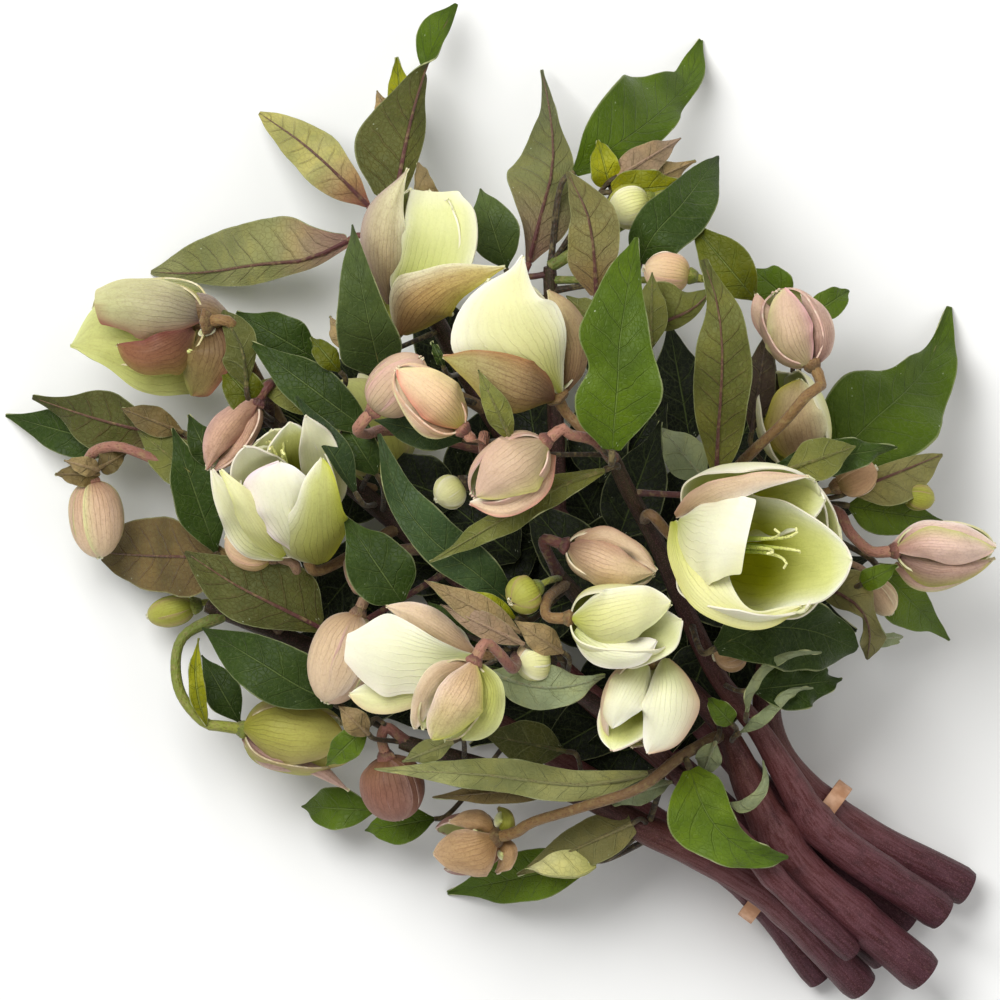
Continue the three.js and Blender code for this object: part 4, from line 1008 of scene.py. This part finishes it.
def heart(seat, length, styles, stamens, seed, drop=0.0, reach=1.0, spread=1.0):
    """The middle of an open head: green styles with curved tips among a ring of short stamens."""
    base, axis, front, side = seat
    base = base - UP * drop
    made = []
    draw = random.Random(seed)
    for k in range(styles):
        turn = 2 * math.pi * k / styles + 0.4
        way = (front * math.cos(turn) + side * math.sin(turn)) * spread
        tall = length * reach * (0.92 + 0.16 * draw.random())
        line = Line([base + way * 0.8 + axis * 2] + [
            base + way * out + axis * tall * rise for out, rise in STYLE_COURSE], 6)
        shades = [colour(c) for c in ("7c9a0c", "8cac14", "9cb820", "d8e070", "f4f2a8")]
        made.append(shoot(thin_rod, line, [1.3, 1.0, 0.8, 0.55, 0.42], shades, stalk_skin, (), 0, k))
    for k in range(stamens):
        turn = 2 * math.pi * (k + draw.random() * 0.6) / stamens
        way = front * math.cos(turn) + side * math.sin(turn)
        tall = length * (0.2 + 0.12 * draw.random())
        line = Line([base + way * 2.4 + axis * 1.5, base + way * 4.2 + axis * tall * 0.6,
                     base + way * (5.2 + draw.random() * 1.5) + axis * tall], 4)
        shades = [colour(c) for c in ("c6cc6a", "d5d77e", "e9e3a0")]
        made.append(shoot(fine_rod, line, [0.3, 0.28, 0.28, 0.75, 0.5], shades, stalk_skin, (), 0, k))
    return made


def head(name, base, tip, width, outline, paints=("cream",), inside="pale", turn=0.0, on=None, at=None, via=(),
         tone="golden", ways=({},) * 5, heart_on=None, node=None, slot="sepal", knob=1.0, half=54.0):
    """A head on its base place that points at its tip place, with one paint and its own ways for each sepal."""
    start, end = place(base), place(tip)
    axis = (end - start).normalized()
    front = (UP - axis * UP.dot(axis)).normalized()
    seat = (start, axis, front, axis.cross(front))
    length, radius = (end - start).length, width / 2
    seed = sum(map(ord, name)) * 0.61 % 13
    pieces = []

    def above(stop):
        spot = place(stop) - start
        return max(spot.z - axis.z * spot.dot(axis - UP * axis.z) / (1 - axis.z ** 2), 0.0)

    # Laid sepals are brought down together until the highest lies on the head's own round.
    highest = max([radius] + [above(stop) for own in ways if own.get("face") != "in"
                              for stop in own.get("spine", ())])
    for k, own in enumerate(ways):
        own = {"out": paints[k % len(paints)], "inside": inside, "seed": seed + k} | own
        if "spine" in own:
            own["spine"] = [[*stop[:2], stop[2] - above(stop) * (1 - radius / highest)] for stop in own["spine"]]
            pieces.append(laid_sepal(**own))
        else:
            own = {"layer": LAYERS[k % 5], "half": half, "curl": BUD_CURL if outline == "bud" else 0.0,
                   "angle": TURN_ORDER[k % 5] + turn + 6 * math.sin(seed + k * 2)} | own
            pieces.append(sepal(seat, length, radius, outline, **own))
    knob_line = Line([start + axis * spot for spot in KNOB_PLACES], 4)
    pieces.append(shoot(fine_rod, knob_line, [PETIOLE_RADIUS * 1.8, 2.6 * knob, 3.1 * knob, 1.6],
                        [colour(c) for c in STALK_TONES[tone]], stalk_skin, (), 0.1, seed))
    if heart_on:
        pieces += heart(seat, length, *heart_on)
    piece = joined(name, pieces)
    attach(piece, "root")
    if node:
        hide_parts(node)
    if on is None:
        on, at = nearest_stem(start, -axis)
    stalk(on, at, via, start, end, STALK_RADIUS if width > STOUT_HEAD else BUD_STALK_RADIUS, tone, seed)


def laid(crown, spine, right, left, **ways):
    """A sepal laid out from listed places: its crown in millimetres, its spine, and its half widths to the right and
    left.
    """
    return dict(crown=crown, spine=spine, widths=(right, left), **ways)


# Sepals hidden on the far side of a head whose near ones are laid one by one.
SLIM_UNDER = (dict(angle=180, size=0.9), dict(angle=135, size=0.76, layer=0.0),
              dict(angle=225, size=0.76, layer=0.03))
UNDER = (dict(angle=180, size=0.94), dict(angle=115, size=0.9, layer=0.0, half=64),
         dict(angle=245, size=0.9, layer=0.03, half=64))
HEADS = {
    "flower_far_left": dict(on="stem_rear_left", at=0.96, via=[[244, 352, 44]], base=[206, 321, 55],
        tip=[84, 324, 38], width=34, paints=("lime",), knob=1.5, ways=(
        laid(8, [[198, 342, 40], [150, 351, 47], [105, 347, 46], [69, 345, 42]], [8, 20, 30, 40, 46, 50, 50, 45, 4],
             [50, 48, 46, 43, 38, 27, 17, 9, 2], out="lime", edges=("d8dc9c", "c8cc80")),
        laid(5, [[188, 328, 50], [204, 316, 57], [217, 321, 55], [228, 338, 46]], [6, 14, 18, 20, 20, 16, 12, 8, 3],
             [8, 22, 25, 23, 18, 14, 11, 8, 3], out="umber", edges=("9c6850", "9c9088")),
        laid(7, [[205, 324, 50], [213, 350, 58], [206, 374, 55], [192, 395, 46]], [8, 22, 34, 44, 46, 42, 32, 20, 6],
             [12, 21, 24, 24, 21, 17, 15, 14, 8], out="umber", edges=("8c8c48", "94584a")),
        laid(6, [[192, 330, 53], [170, 345, 62], [143, 354, 63], [116, 344, 58]], [3, 10, 14, 16, 16, 15, 13, 9, 4],
             [4, 18, 28, 30, 26, 22, 17, 12, 5], out="brownpink", edges=("7c4440", "8c7c40")),
        laid(9, [[201, 317, 54], [163, 308, 65], [128, 303, 66], [94, 305, 60]], [20, 24, 26, 28, 28, 26, 25, 22, 16],
             [6, 18, 26, 33, 35, 34, 30, 26, 20], out="greying", edges=("ccc898", "a06450"), round_end=False),
    ) + SLIM_UNDER),
    "flower_top_left": dict(on="stem_rear_top", at=0.76, base=[396, 330, 60], tip=[428, 200, 74], width=36,
        paints=("cream",), ways=(
        laid(9, [[399, 334, 64], [418, 305, 82], [452, 283, 90], [505, 267, 86]], [8, 26, 36, 32, 26, 20, 15, 9, 3],
             [8, 26, 32, 30, 26, 21, 15, 8, 3], out="veined", edges=("a8a434", "f2f0cc")),
        laid(7, [[388, 305, 60], [384, 258, 76], [390, 212, 78], [408, 168, 74]], [4, 14, 22, 24, 22, 18, 12, 6, 2],
             [2, 10, 18, 23, 26, 25, 19, 9, 2], out="ecru", edges=("f0edc8", "a8908c")),
        laid(-5, [[404, 325, 62], [426, 270, 68], [436, 230, 70], [437, 192, 66]],
             [6, 22, 34, 40, 42, 42, 40, 34, 22], [6, 18, 28, 32, 34, 34, 32, 30, 26], out="white", face="in",
             round_end=False),
    ) + SLIM_UNDER),
    "flower_top_middle": dict(on="stem_upper", at=0.985, via=[[578, 425, 96]], base=[556, 396, 98],
        tip=[494, 292, 116], width=34, paints=("cream",), knob=1.4, ways=(
        laid(9, [[560, 394, 100], [536, 350, 117], [514, 305, 122], [523, 257, 116]],
             [4, 13, 23, 33, 40, 38, 26, 14, 5], [3, 8, 16, 42, 72, 74, 46, 14, 5], out="cream",
             edges=("f6f4e0", "f6f4e6")),
        laid(7, [[564, 392, 96], [573, 355, 107], [566, 325, 110], [548, 290, 106]],
             [4, 10, 14, 15, 18, 20, 18, 12, 5], [4, 14, 20, 24, 26, 24, 18, 10, 4], out="tan",
             edges=("a08468", "e8dcb0")),
        laid(5, [[555, 400, 103], [522, 385, 121], [484, 368, 123], [443, 357, 113]],
             [5, 18, 26, 26, 24, 21, 16, 10, 3], [4, 14, 26, 34, 35, 30, 22, 12, 3], out="sage",
             edges=("a8744c", "9c8c40")),
    ) + SLIM_UNDER),
    "flower_left": dict(on="stem_rear_left", at=0.78, base=[308, 554, 54], tip=[282, 462, 77], width=36,
        outline="cup", paints=("white",), heart_on=(5, 16, 3, 6.0, 1.22, 0.5), ways=(
        laid(10, [[318, 566, 54], [314, 535, 74], [316, 498, 84], [322, 458, 84]],
             [10, 26, 35, 37, 33, 28, 24, 20, 14], [10, 42, 49, 42, 30, 22, 18, 14, 8], out="lime",
             edges=("c8cc3c", "fbf8e4")),
        laid(3, [[300, 552, 62], [289, 515, 76], [282, 485, 80], [280, 462, 80]], [8, 18, 26, 30, 32, 32, 30, 26, 20],
             [8, 14, 22, 28, 33, 37, 39, 38, 34], out="clear", edges=("fbf8f0", "f0dce4")),
        laid(6, [[284, 556, 58], [264, 530, 72], [243, 500, 80], [221, 470, 80]], [6, 12, 16, 18, 18, 15, 11, 7, 3],
             [6, 14, 17, 17, 16, 14, 10, 6, 3], out="cream", edges=("f2efb8", "dcdc90")),
        laid(3, [[285, 556, 52], [250, 530, 62], [226, 500, 70], [212, 470, 72]], [4, 12, 18, 20, 22, 20, 16, 10, 4],
             [6, 18, 24, 24, 20, 16, 12, 8, 3], out="white"),
        laid(-3, [[296, 530, 56], [272, 496, 62], [254, 468, 74], [245, 446, 84]],
             [8, 22, 30, 32, 32, 30, 26, 20, 14], [8, 20, 26, 30, 32, 30, 26, 20, 12], face="in", inside="white"),
        laid(-4, [[308, 520, 54], [300, 480, 58], [294, 448, 72], [290, 424, 82]],
             [8, 20, 26, 28, 28, 26, 22, 18, 12], [8, 20, 28, 32, 34, 32, 28, 22, 14], face="in", inside="shaded_cup_inside"),
        laid(-3, [[318, 520, 56], [318, 480, 64], [314, 445, 76], [306, 417, 84]], [8, 20, 26, 28, 28, 26, 22, 16, 8],
             [6, 10, 12, 14, 16, 16, 14, 10, 5], face="in", inside="white"),
    ) + SLIM_UNDER),
    "flower_open": dict(on="stem_upper", at=0.86, via=[[652, 515, 86]], base=[690, 540, 86], tip=[782, 546, 116],
        width=44, outline="cup", paints=("white",), heart_on=(5, 14, 5), ways=(
        laid(6, [[674, 522, 90], [681, 562, 106], [704, 597, 113], [746, 616, 112], [801, 606, 106]],
             [4, 9, 12, 14, 15, 14, 14, 12, 6], [3, 26, 38, 42, 36, 21, 6, 5, 4], out="cream", roll=10,
             edges=("d0cc7c", "f4f2d0")),
        laid(8, [[678, 520, 94], [698, 528, 113], [722, 535, 122], [746, 540, 122]],
             [4, 26, 44, 54, 56, 52, 46, 40, 34], [3, 10, 20, 28, 34, 39, 42, 43, 42], out="clear",
             edges=("f0eeb8", "f4f2dc"), round_end=False),
        laid(5, [[676, 516, 90], [706, 490, 112], [750, 478, 122], [808, 476, 116]],
             [2, 10, 15, 18, 18, 15, 11, 7, 3], [4, 9, 9, 7, 6, 6, 5, 4, 3], out="blush", roll=-16,
             edges=("f6eedc", "dcb49c")),
        laid(-4, [[700, 538, 80], [745, 508, 84], [786, 500, 94], [824, 500, 106]],
             [8, 22, 30, 34, 36, 34, 32, 28, 22], [8, 20, 26, 26, 26, 26, 25, 22, 14], face="in", inside="shaded_cup_inside"),
        laid(-9, [[700, 548, 80], [752, 560, 86], [802, 562, 100], [850, 560, 112]],
             [10, 42, 58, 60, 54, 48, 44, 38, 28], [10, 44, 60, 66, 66, 62, 52, 38, 26], face="in", inside="shaded_cup_inside",
             wave=0.5),
        dict(angle=180, size=1.08),
        dict(angle=120, size=1.02, half=62),
        dict(angle=240, size=1.02, half=62),
    )),
    "flower_right": dict(on="stem_right", at=0.97, via=[[838, 512, 47], [850, 532, 52], [866, 548, 55]],
        base=[896, 551, 56], tip=[996, 546, 52], width=21, outline="bud", paints=("pink",), tone="red", ways=(
        laid(5, [[897, 549, 58], [930, 545, 67], [965, 548, 67], [994, 550, 58]], [3, 9, 13, 16, 18, 18, 16, 12, 8],
             [3, 12, 18, 19, 18, 16, 14, 11, 7], out="pearl", edges=("ecc8b4", "ccd074")),
        laid(5, [[898, 557, 55], [930, 570, 60], [965, 570, 59], [992, 561, 54]], [3, 10, 15, 17, 15, 13, 10, 7, 3],
             [3, 8, 12, 14, 14, 14, 12, 8, 4], out="mauve", edges=("b8b850", "dcc0a8")),
        laid(3, [[893, 546, 54], [922, 534, 60], [960, 534, 59], [996, 547, 54]], [4, 8, 10, 10, 10, 10, 10, 8, 5],
             [3, 9, 12, 13, 12, 11, 9, 7, 5], out="pearl", edges=("b8c040", "f0e0d4")),
        laid(3, [[895, 564, 50], [925, 580, 54], [962, 575, 53], [996, 558, 52]], [3, 9, 12, 12, 11, 9, 7, 5, 3],
             [3, 10, 12, 12, 10, 10, 8, 6, 4], out="pearl"),
    ) + SLIM_UNDER),
    "flower_cream": dict(on="stem_thin", at=0.94, base=[472, 655, 82], tip=[362, 652, 83], width=29,
        paints=("cream",), ways=(
        laid(7, [[473, 656, 88], [430, 653, 103], [388, 647, 106], [346, 641, 99]], [3, 6, 11, 17, 24, 31, 33, 20, 8],
             [3, 14, 28, 40, 46, 49, 46, 37, 20], out="clear", edges=("f4f2dc", "f4ecd6"), round_end=False),
        laid(5, [[474, 653, 84], [440, 631, 95], [412, 614, 97], [386, 606, 93]], [3, 8, 13, 16, 17, 16, 13, 9, 5],
             [4, 12, 16, 18, 18, 16, 12, 8, 4], out="blush"),
        laid(5, [[462, 668, 80], [418, 690, 90], [382, 698, 90], [350, 694, 86]], [4, 14, 20, 26, 28, 26, 22, 16, 8],
             [3, 10, 14, 16, 16, 16, 16, 14, 10], out="cream", edges=("f2f0d8", "e0c89c")),
    ) + SLIM_UNDER),
    "flower_low_left": dict(on="stem_low", at=0.97, via=[[180, 640, 30], [178, 690, 32], [205, 724, 34]],
        base=[243, 730, 33], tip=[340, 745, 28], width=25, paints=("olive",), tone="green", ways=(
        laid(8, [[244, 728, 38], [272, 730, 50], [310, 735, 51], [345, 738, 44]], [4, 20, 30, 32, 32, 30, 26, 20, 12],
             [6, 28, 36, 36, 32, 30, 27, 22, 14], out="olive", edges=("9c8a60", "a89840")),
        laid(5, [[242, 738, 34], [268, 756, 42], [308, 766, 38], [349, 792, 28]], [3, 9, 13, 13, 11, 8, 6, 4, 2],
             [3, 12, 16, 16, 14, 10, 8, 5, 2], out="mauve"),
        laid(4, [[260, 745, 34], [300, 756, 38], [335, 757, 36], [356, 752, 34]], [4, 10, 12, 14, 14, 14, 12, 10, 6],
             [4, 10, 14, 16, 18, 18, 16, 12, 8], out="olive"),
    ) + UNDER),
    "flower_behind": dict(on="stem_right", at=0.99, base=[806, 462, 50], tip=[780, 380, 62], width=25,
        paints=("cream",), ways=(
        laid(7, [[808, 466, 56], [800, 435, 67], [795, 408, 68], [800, 380, 64]], [4, 18, 26, 28, 28, 27, 26, 22, 14],
             [4, 22, 32, 36, 36, 32, 26, 20, 12], out="tan", edges=("e8e4b4", "c0b83c")),
    ) + UNDER),
    "flower_nodding": dict(on="stem_thin", at=0.985, via=[[512, 668, 100], [498, 652, 106]], base=[474, 662, 110],
        tip=[434, 734, 111], width=24, paints=("lime",), tone="red", ways=(
        laid(6, [[473, 664, 113], [460, 688, 122], [446, 712, 121], [432, 738, 113]],
             [5, 12, 17, 19, 19, 18, 17, 14, 9], [5, 18, 27, 32, 32, 29, 25, 19, 11], out="speckled",
             edges=("ecd4c4", "b8bc50")),
        laid(5, [[478, 664, 109], [490, 690, 114], [484, 716, 112], [462, 740, 106]],
             [4, 18, 24, 26, 24, 20, 16, 10, 4], [5, 10, 13, 15, 17, 18, 16, 12, 6], out="lime",
             edges=("ccd078", "d8dca0")),
        laid(4, [[466, 661, 109], [434, 676, 114], [420, 700, 112], [416, 728, 105]], [3, 7, 10, 10, 9, 8, 7, 6, 4],
             [5, 14, 18, 18, 16, 14, 12, 9, 5], out="blush", edges=("e8d8b8", "f0e4d4")),
    ) + SLIM_UNDER),
    "flower_tulip": dict(on="stem_front", at=0.97, via=[[546, 602, 94]], base=[570, 618, 101], tip=[668, 625, 106],
        width=25, paints=("cream",), ways=(
        laid(7, [[571, 619, 105], [604, 616, 119], [638, 606, 120], [670, 602, 112]],
             [5, 24, 31, 32, 30, 30, 26, 20, 12], [5, 18, 26, 27, 25, 23, 21, 18, 13], out="cream",
             edges=("e4e6a8", "f6f4e0")),
        laid(5, [[575, 630, 102], [608, 650, 112], [636, 652, 112], [656, 640, 110]],
             [4, 13, 18, 18, 17, 16, 14, 11, 6], [4, 16, 20, 20, 18, 18, 16, 14, 10], out="clear"),
        laid(-4, [[600, 624, 96], [632, 628, 100], [660, 628, 104], [681, 620, 106]],
             [6, 24, 34, 38, 38, 34, 28, 20, 10], [6, 18, 26, 32, 34, 32, 28, 20, 10], face="in"),
    ) + UNDER),
    "flower_lower": dict(on="stem_front", at=0.72, base=[650, 664, 86], tip=[632, 746, 88], width=27,
        paints=("blush",), ways=(
        laid(4, [[646, 664, 90], [627, 690, 102], [616, 712, 102], [612, 728, 98]],
             [4, 14, 18, 20, 19, 17, 15, 13, 10], [4, 14, 20, 24, 24, 22, 18, 14, 8], out="clear",
             edges=("d0c498", "f6f4e4")),
        laid(8, [[664, 658, 90], [668, 692, 105], [664, 725, 104], [648, 752, 94]],
             [4, 14, 20, 26, 30, 32, 30, 22, 12], [5, 18, 26, 31, 32, 30, 24, 16, 8], out="clear",
             edges=("fbf8ec", "c89c80")),
        laid(-4, [[640, 672, 84], [622, 705, 86], [614, 730, 88], [612, 750, 90]], [6, 14, 18, 20, 20, 19, 17, 14, 8],
             [8, 24, 32, 36, 38, 38, 34, 26, 16], face="in", inside="shaded_cup_inside"),
    ) + UNDER),
    "flower_bottom": dict(on="stem_front", at=0.56, via=[[682, 756, 59], [640, 788, 63], [580, 808, 57],
        [530, 824, 48]], base=[495, 838, 40], tip=[438, 850, 30], width=21, paints=("dusk",), knob=1.2, ways=(
        laid(7, [[496, 838, 42], [480, 846, 52], [458, 852, 51], [434, 855, 43]], [4, 10, 15, 18, 20, 21, 20, 15, 8],
             [6, 22, 30, 32, 30, 27, 22, 14, 7], out="tawny"),
        laid(4, [[493, 832, 42], [480, 823, 50], [466, 821, 50], [450, 822, 45]], [3, 8, 11, 12, 12, 11, 9, 6, 3],
             [3, 8, 10, 11, 11, 11, 9, 6, 3], out="tawny"),
        laid(3, [[497, 836, 38], [507, 824, 44], [506, 816, 42], [498, 808, 38]], [4, 8, 9, 9, 8, 7, 6, 4, 2],
             [4, 9, 12, 13, 13, 12, 10, 7, 3], out="green"),
        laid(3, [[499, 841, 36], [510, 852, 40], [508, 864, 38], [496, 874, 34]], [4, 9, 12, 13, 13, 12, 10, 7, 3],
             [4, 7, 8, 8, 7, 6, 5, 3, 2], out="tawny"),
    ) + UNDER),
    "bud_left": dict(on="stem_rear_left", at=0.985, base=[256, 402, 54], tip=[208, 468, 49], width=14,
        paints=("rose",), tone="maroon", ways=(
        laid(5, [[254, 402, 58], [238, 414, 65], [219, 438, 66], [206, 470, 56]], [4, 9, 13, 16, 17, 16, 12, 7, 2],
             [4, 14, 18, 19, 17, 14, 10, 6, 2], out="rose", edges=("c8a49c", "8c5850")),
        laid(4, [[257, 406, 55], [252, 424, 61], [240, 446, 60], [214, 470, 52]], [3, 10, 14, 15, 13, 11, 8, 5, 2],
             [3, 6, 8, 9, 9, 8, 6, 4, 2], out="rose", edges=("94605a", "ccaca0")),
    ) + UNDER),
    "bud_outer_left": dict(on="stem_rear_left", at=0.995, via=[[184, 464, 40], [114, 446, 38]], base=[90, 480, 28],
        tip=[98, 558, 24], width=15.5, paints=("pink", "lime", "blush"), tone="red", turn=-30, half=60),
    "bud_small_left": dict(on="stem_low", at=0.96, base=[193, 606, 16], tip=[146, 617, 13], width=9,
        paints=("green",), tone="green"),
    "bud_upper_pair": dict(on="stem_rear_top", at=0.7, via=[[392, 430, 58], [366, 434, 74]], base=[374, 410, 92],
        tip=[422, 358, 97], width=15.5, paints=("lilac", "peach"), tone="red", half=66, turn=20),
    "bud_peach": dict(on="stem_rear_top", at=0.64, via=[[484, 452, 98], [484, 434, 105]], base=[462, 429, 107],
        tip=[397, 369, 110], width=18, paints=("peach",), tone="red", ways=(
        laid(5, [[461, 426, 110], [444, 407, 121], [422, 388, 121], [398, 370, 113]],
             [6, 20, 26, 27, 26, 24, 20, 14, 8], [6, 18, 22, 23, 22, 20, 17, 12, 7], out="peach",
             edges=("e8d8a0", "d8806c")),
        laid(4, [[454, 432, 107], [426, 428, 113], [404, 402, 114], [394, 375, 109]],
             [4, 10, 14, 14, 13, 12, 10, 8, 4], [4, 8, 9, 8, 7, 6, 5, 4, 3], out="pink"),
    ) + UNDER),
    "bud_centre": dict(on="stem_upper", at=0.99, via=[[592, 440, 108], [568, 434, 115]], base=[545, 442, 116],
        tip=[472, 496, 114], width=21, paints=("lilac",), tone="red", ways=(
        laid(7, [[546, 443, 119], [524, 460, 131], [499, 478, 130], [476, 497, 120]],
             [6, 24, 31, 33, 32, 29, 24, 17, 10], [6, 24, 32, 33, 31, 27, 22, 16, 9], out="lilac",
             edges=("d8b49c", "c8c46c")),
        laid(4, [[553, 455, 112], [540, 490, 118], [508, 510, 118], [470, 503, 114]],
             [5, 16, 20, 20, 18, 16, 14, 12, 8], [3, 6, 8, 8, 7, 7, 7, 6, 4], out="pink", inside="white",
             edges=("f0e6d0", "cc8878")),
    ) + UNDER),
    "bud_lilac": dict(on="stem_right", at=0.98, via=[[738, 472, 64], [752, 452, 74], [782, 424, 80], [808, 394, 85]],
        base=[812, 364, 78], tip=[776, 290, 71], width=22, paints=("lilac",), ways=(
        laid(8, [[808, 364, 82], [795, 338, 93], [788, 313, 93], [784, 288, 84]], [4, 13, 18, 20, 21, 20, 17, 12, 6],
             [6, 24, 30, 29, 26, 24, 20, 14, 7], out="lilac", edges=("e8b0b4", "d0cc8c")),
        laid(6, [[817, 362, 79], [824, 340, 86], [818, 316, 84], [802, 294, 78]], [4, 9, 10, 11, 11, 11, 9, 6, 3],
             [5, 14, 18, 20, 20, 18, 14, 9, 4], out="mauve"),
        laid(5, [[796, 350, 72], [772, 330, 78], [760, 312, 78], [756, 294, 74]], [4, 10, 14, 16, 16, 16, 14, 10, 5],
             [4, 8, 11, 13, 13, 12, 10, 7, 4], out="lilac"),
    ) + UNDER),
    "bud_far_right": dict(on="stem_right", at=0.985, base=[838, 486, 50], tip=[877, 468, 50], width=11,
        paints=("orange", "tawny")),
    "bud_round": dict(on="stem_rear_left", at=0.74, via=[[350, 560, 50], [360, 592, 62]], base=[358, 614, 60],
        tip=[326, 703, 56], width=18.5, paints=("blush", "pink", "lilac"), tone="tan", half=66, turn=25),
    "bud_middle": dict(on="stem_front", at=0.99, base=[566, 546, 92], tip=[654, 574, 93], width=18.5,
        paints=("bisque",), tone="maroon", ways=(
        laid(6, [[570, 548, 96], [592, 557, 106], [622, 567, 107], [654, 573, 98]],
             [5, 17, 23, 25, 25, 22, 17, 11, 4], [5, 17, 23, 22, 20, 16, 11, 7, 3], out="bisque",
             edges=("c8b484", "a87c6c")),
        laid(4, [[576, 542, 95], [603, 535, 103], [632, 548, 103], [656, 570, 97]], [4, 10, 13, 13, 12, 10, 8, 5, 2],
             [3, 7, 9, 10, 9, 8, 6, 4, 2], out="blush", edges=("d8c4a4", "a8806c")),
    ) + UNDER),
    "bud_low": dict(on="stem_left", at=0.985, via=[[386, 728, 47]], base=[386, 758, 44], tip=[400, 820, 37], width=18,
        paints=("dusk",), tone="red", half=62, turn=30),
    "flower_under": dict(on="stem_rear_left", at=0.86, base=[392, 474, 21], tip=[338, 384, 16], width=27,
        paints=("lime", "cream")),
    "bud_small_middle": dict(on="stem_front", at=0.985, base=[535, 588, 92], tip=[510, 602, 96], width=11.5,
        paints=("green",), tone="green"),
}
for node, grown in HEADS.items():
    kind = node.split("_")[0]
    grown = {"outline": {"bud": "bud", "flower": "bell"}[kind]} | grown
    head(node + "_sepals", node=node, slot="bud" if kind == "bud" else "sepal", **grown)

SMALL_HEADS = {
    "bud_pale": dict(base=[462, 484, 78], tip=[436, 500, 80], width=10, paints=("cream",), tone="dark"),
    "bud_green_right": dict(base=[906, 494, 44], tip=[934, 500, 40], width=8, paints=("green",), tone="green"),
    "bud_low_right": dict(base=[872, 582, 44], tip=[892, 614, 40], width=9, paints=("bisque", "green"), tone="tan"),
    "bud_shaded_right": dict(base=[746, 648, 62], tip=[714, 658, 62], width=11, paints=("tawny", "green"),
        tone="dark"),
    "bud_in_bracts": dict(base=[548, 660, 86], tip=[516, 662, 90], width=12, paints=("cream", "bisque"), tone="dark"),
    "bud_cream_top": dict(base=[650, 200, 58], tip=[608, 212, 58], width=13, paints=("cream", "green"), tone="green"),
    "bud_peach_top": dict(base=[690, 276, 66], tip=[644, 268, 66], width=12, paints=("peach", "blush"), tone="green"),
    "bud_pink_left": dict(base=[274, 556, 48], tip=[226, 536, 44], width=14, paints=("peach", "pink"), tone="tan"),
}
for name, grown in SMALL_HEADS.items():
    head(name, outline="bud", slot="bud", **grown)

# ---- Stems put together with their stalks ----
# Each stem is closed here into one grown object, now that all its flower and leaf stalks have been laid.
# Stem and stalks are one living tissue, so nothing else fixes them to each other.
for name, pieces in growing.items():
    whole = joined(name + "_with_stalks", pieces)
    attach(whole, "root")
    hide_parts(name)
for pattern in (thick_rod, thin_rod, fine_rod, blank_leaf, blank_sepal):
    bpy.data.objects.remove(pattern)

# ---- Floor, light and camera ----
# A plain pale studio floor, a large soft light from above on the left, weaker fills, and a camera
# straight above that looks down on the lying bunch.
FLOOR_SIZE = 6  # metres
SKY_STRENGTH = 0.31
LIGHTS = {  # place across, up and above the view's middle in metres, size and power
    "key": ((-0.6, 0.7, 1.5), 1.1, 29.0),
    "fill": ((1.1, 0.2, 1.3), 1.4, 6.0),
    "low": ((0.1, -1.3, 1.0), 1.2, 3.5),
}
LIGHT_TARGET = Vector((0, 0, 0.05))
CAMERA_HEIGHT = 12.0
VIEW_WIDTH = 0.3  # metres
VIEW_LEVEL = 70  # mm above the floor, where the view is that wide
SENSOR = 36  # mm

# Matt white emulsion paint, rolled on: an even skin with no gloss.
floor_paint, tree, shader = material("matt white paint", Roughness=0.75, Base_Color=colour("f4f4f2"))
bpy.ops.object.select_all(action="DESELECT")
bpy.ops.mesh.primitive_plane_add(size=FLOOR_SIZE)
floor = bpy.context.object
floor.name = "floor"
floor.data.materials.append(floor_paint)

for name, (spot, size, power) in LIGHTS.items():
    lamp = bpy.data.lights.new(name, "AREA")
    lamp.size = size
    lamp.energy = power
    shown = bpy.data.objects.new(name, lamp)
    shown.location = Matrix.Rotation(VIEW_TURN, 3, "Z") @ Vector(spot)
    shown.rotation_euler = (shown.location - LIGHT_TARGET).to_track_quat("Z", "Y").to_euler()
    bpy.context.collection.objects.link(shown)
sky = bpy.data.worlds.new("studio")
sky.use_nodes = True
sky.node_tree.nodes["Background"].inputs["Color"].default_value = (1, 1, 1, 1)
sky.node_tree.nodes["Background"].inputs["Strength"].default_value = SKY_STRENGTH
bpy.context.scene.world = sky
bpy.context.scene.view_settings.view_transform = "Standard"

lens = bpy.data.cameras.new("camera")
lens.sensor_width = SENSOR
lens.lens = SENSOR * CAMERA_HEIGHT / VIEW_WIDTH
camera = bpy.data.objects.new("camera", lens)
camera.location = SETTLE @ place((500, 500, VIEW_LEVEL)) + Vector((0, 0, CAMERA_HEIGHT))
camera.rotation_euler = (0, 0, VIEW_TURN)
bpy.context.collection.objects.link(camera)
bpy.context.scene.camera = camera
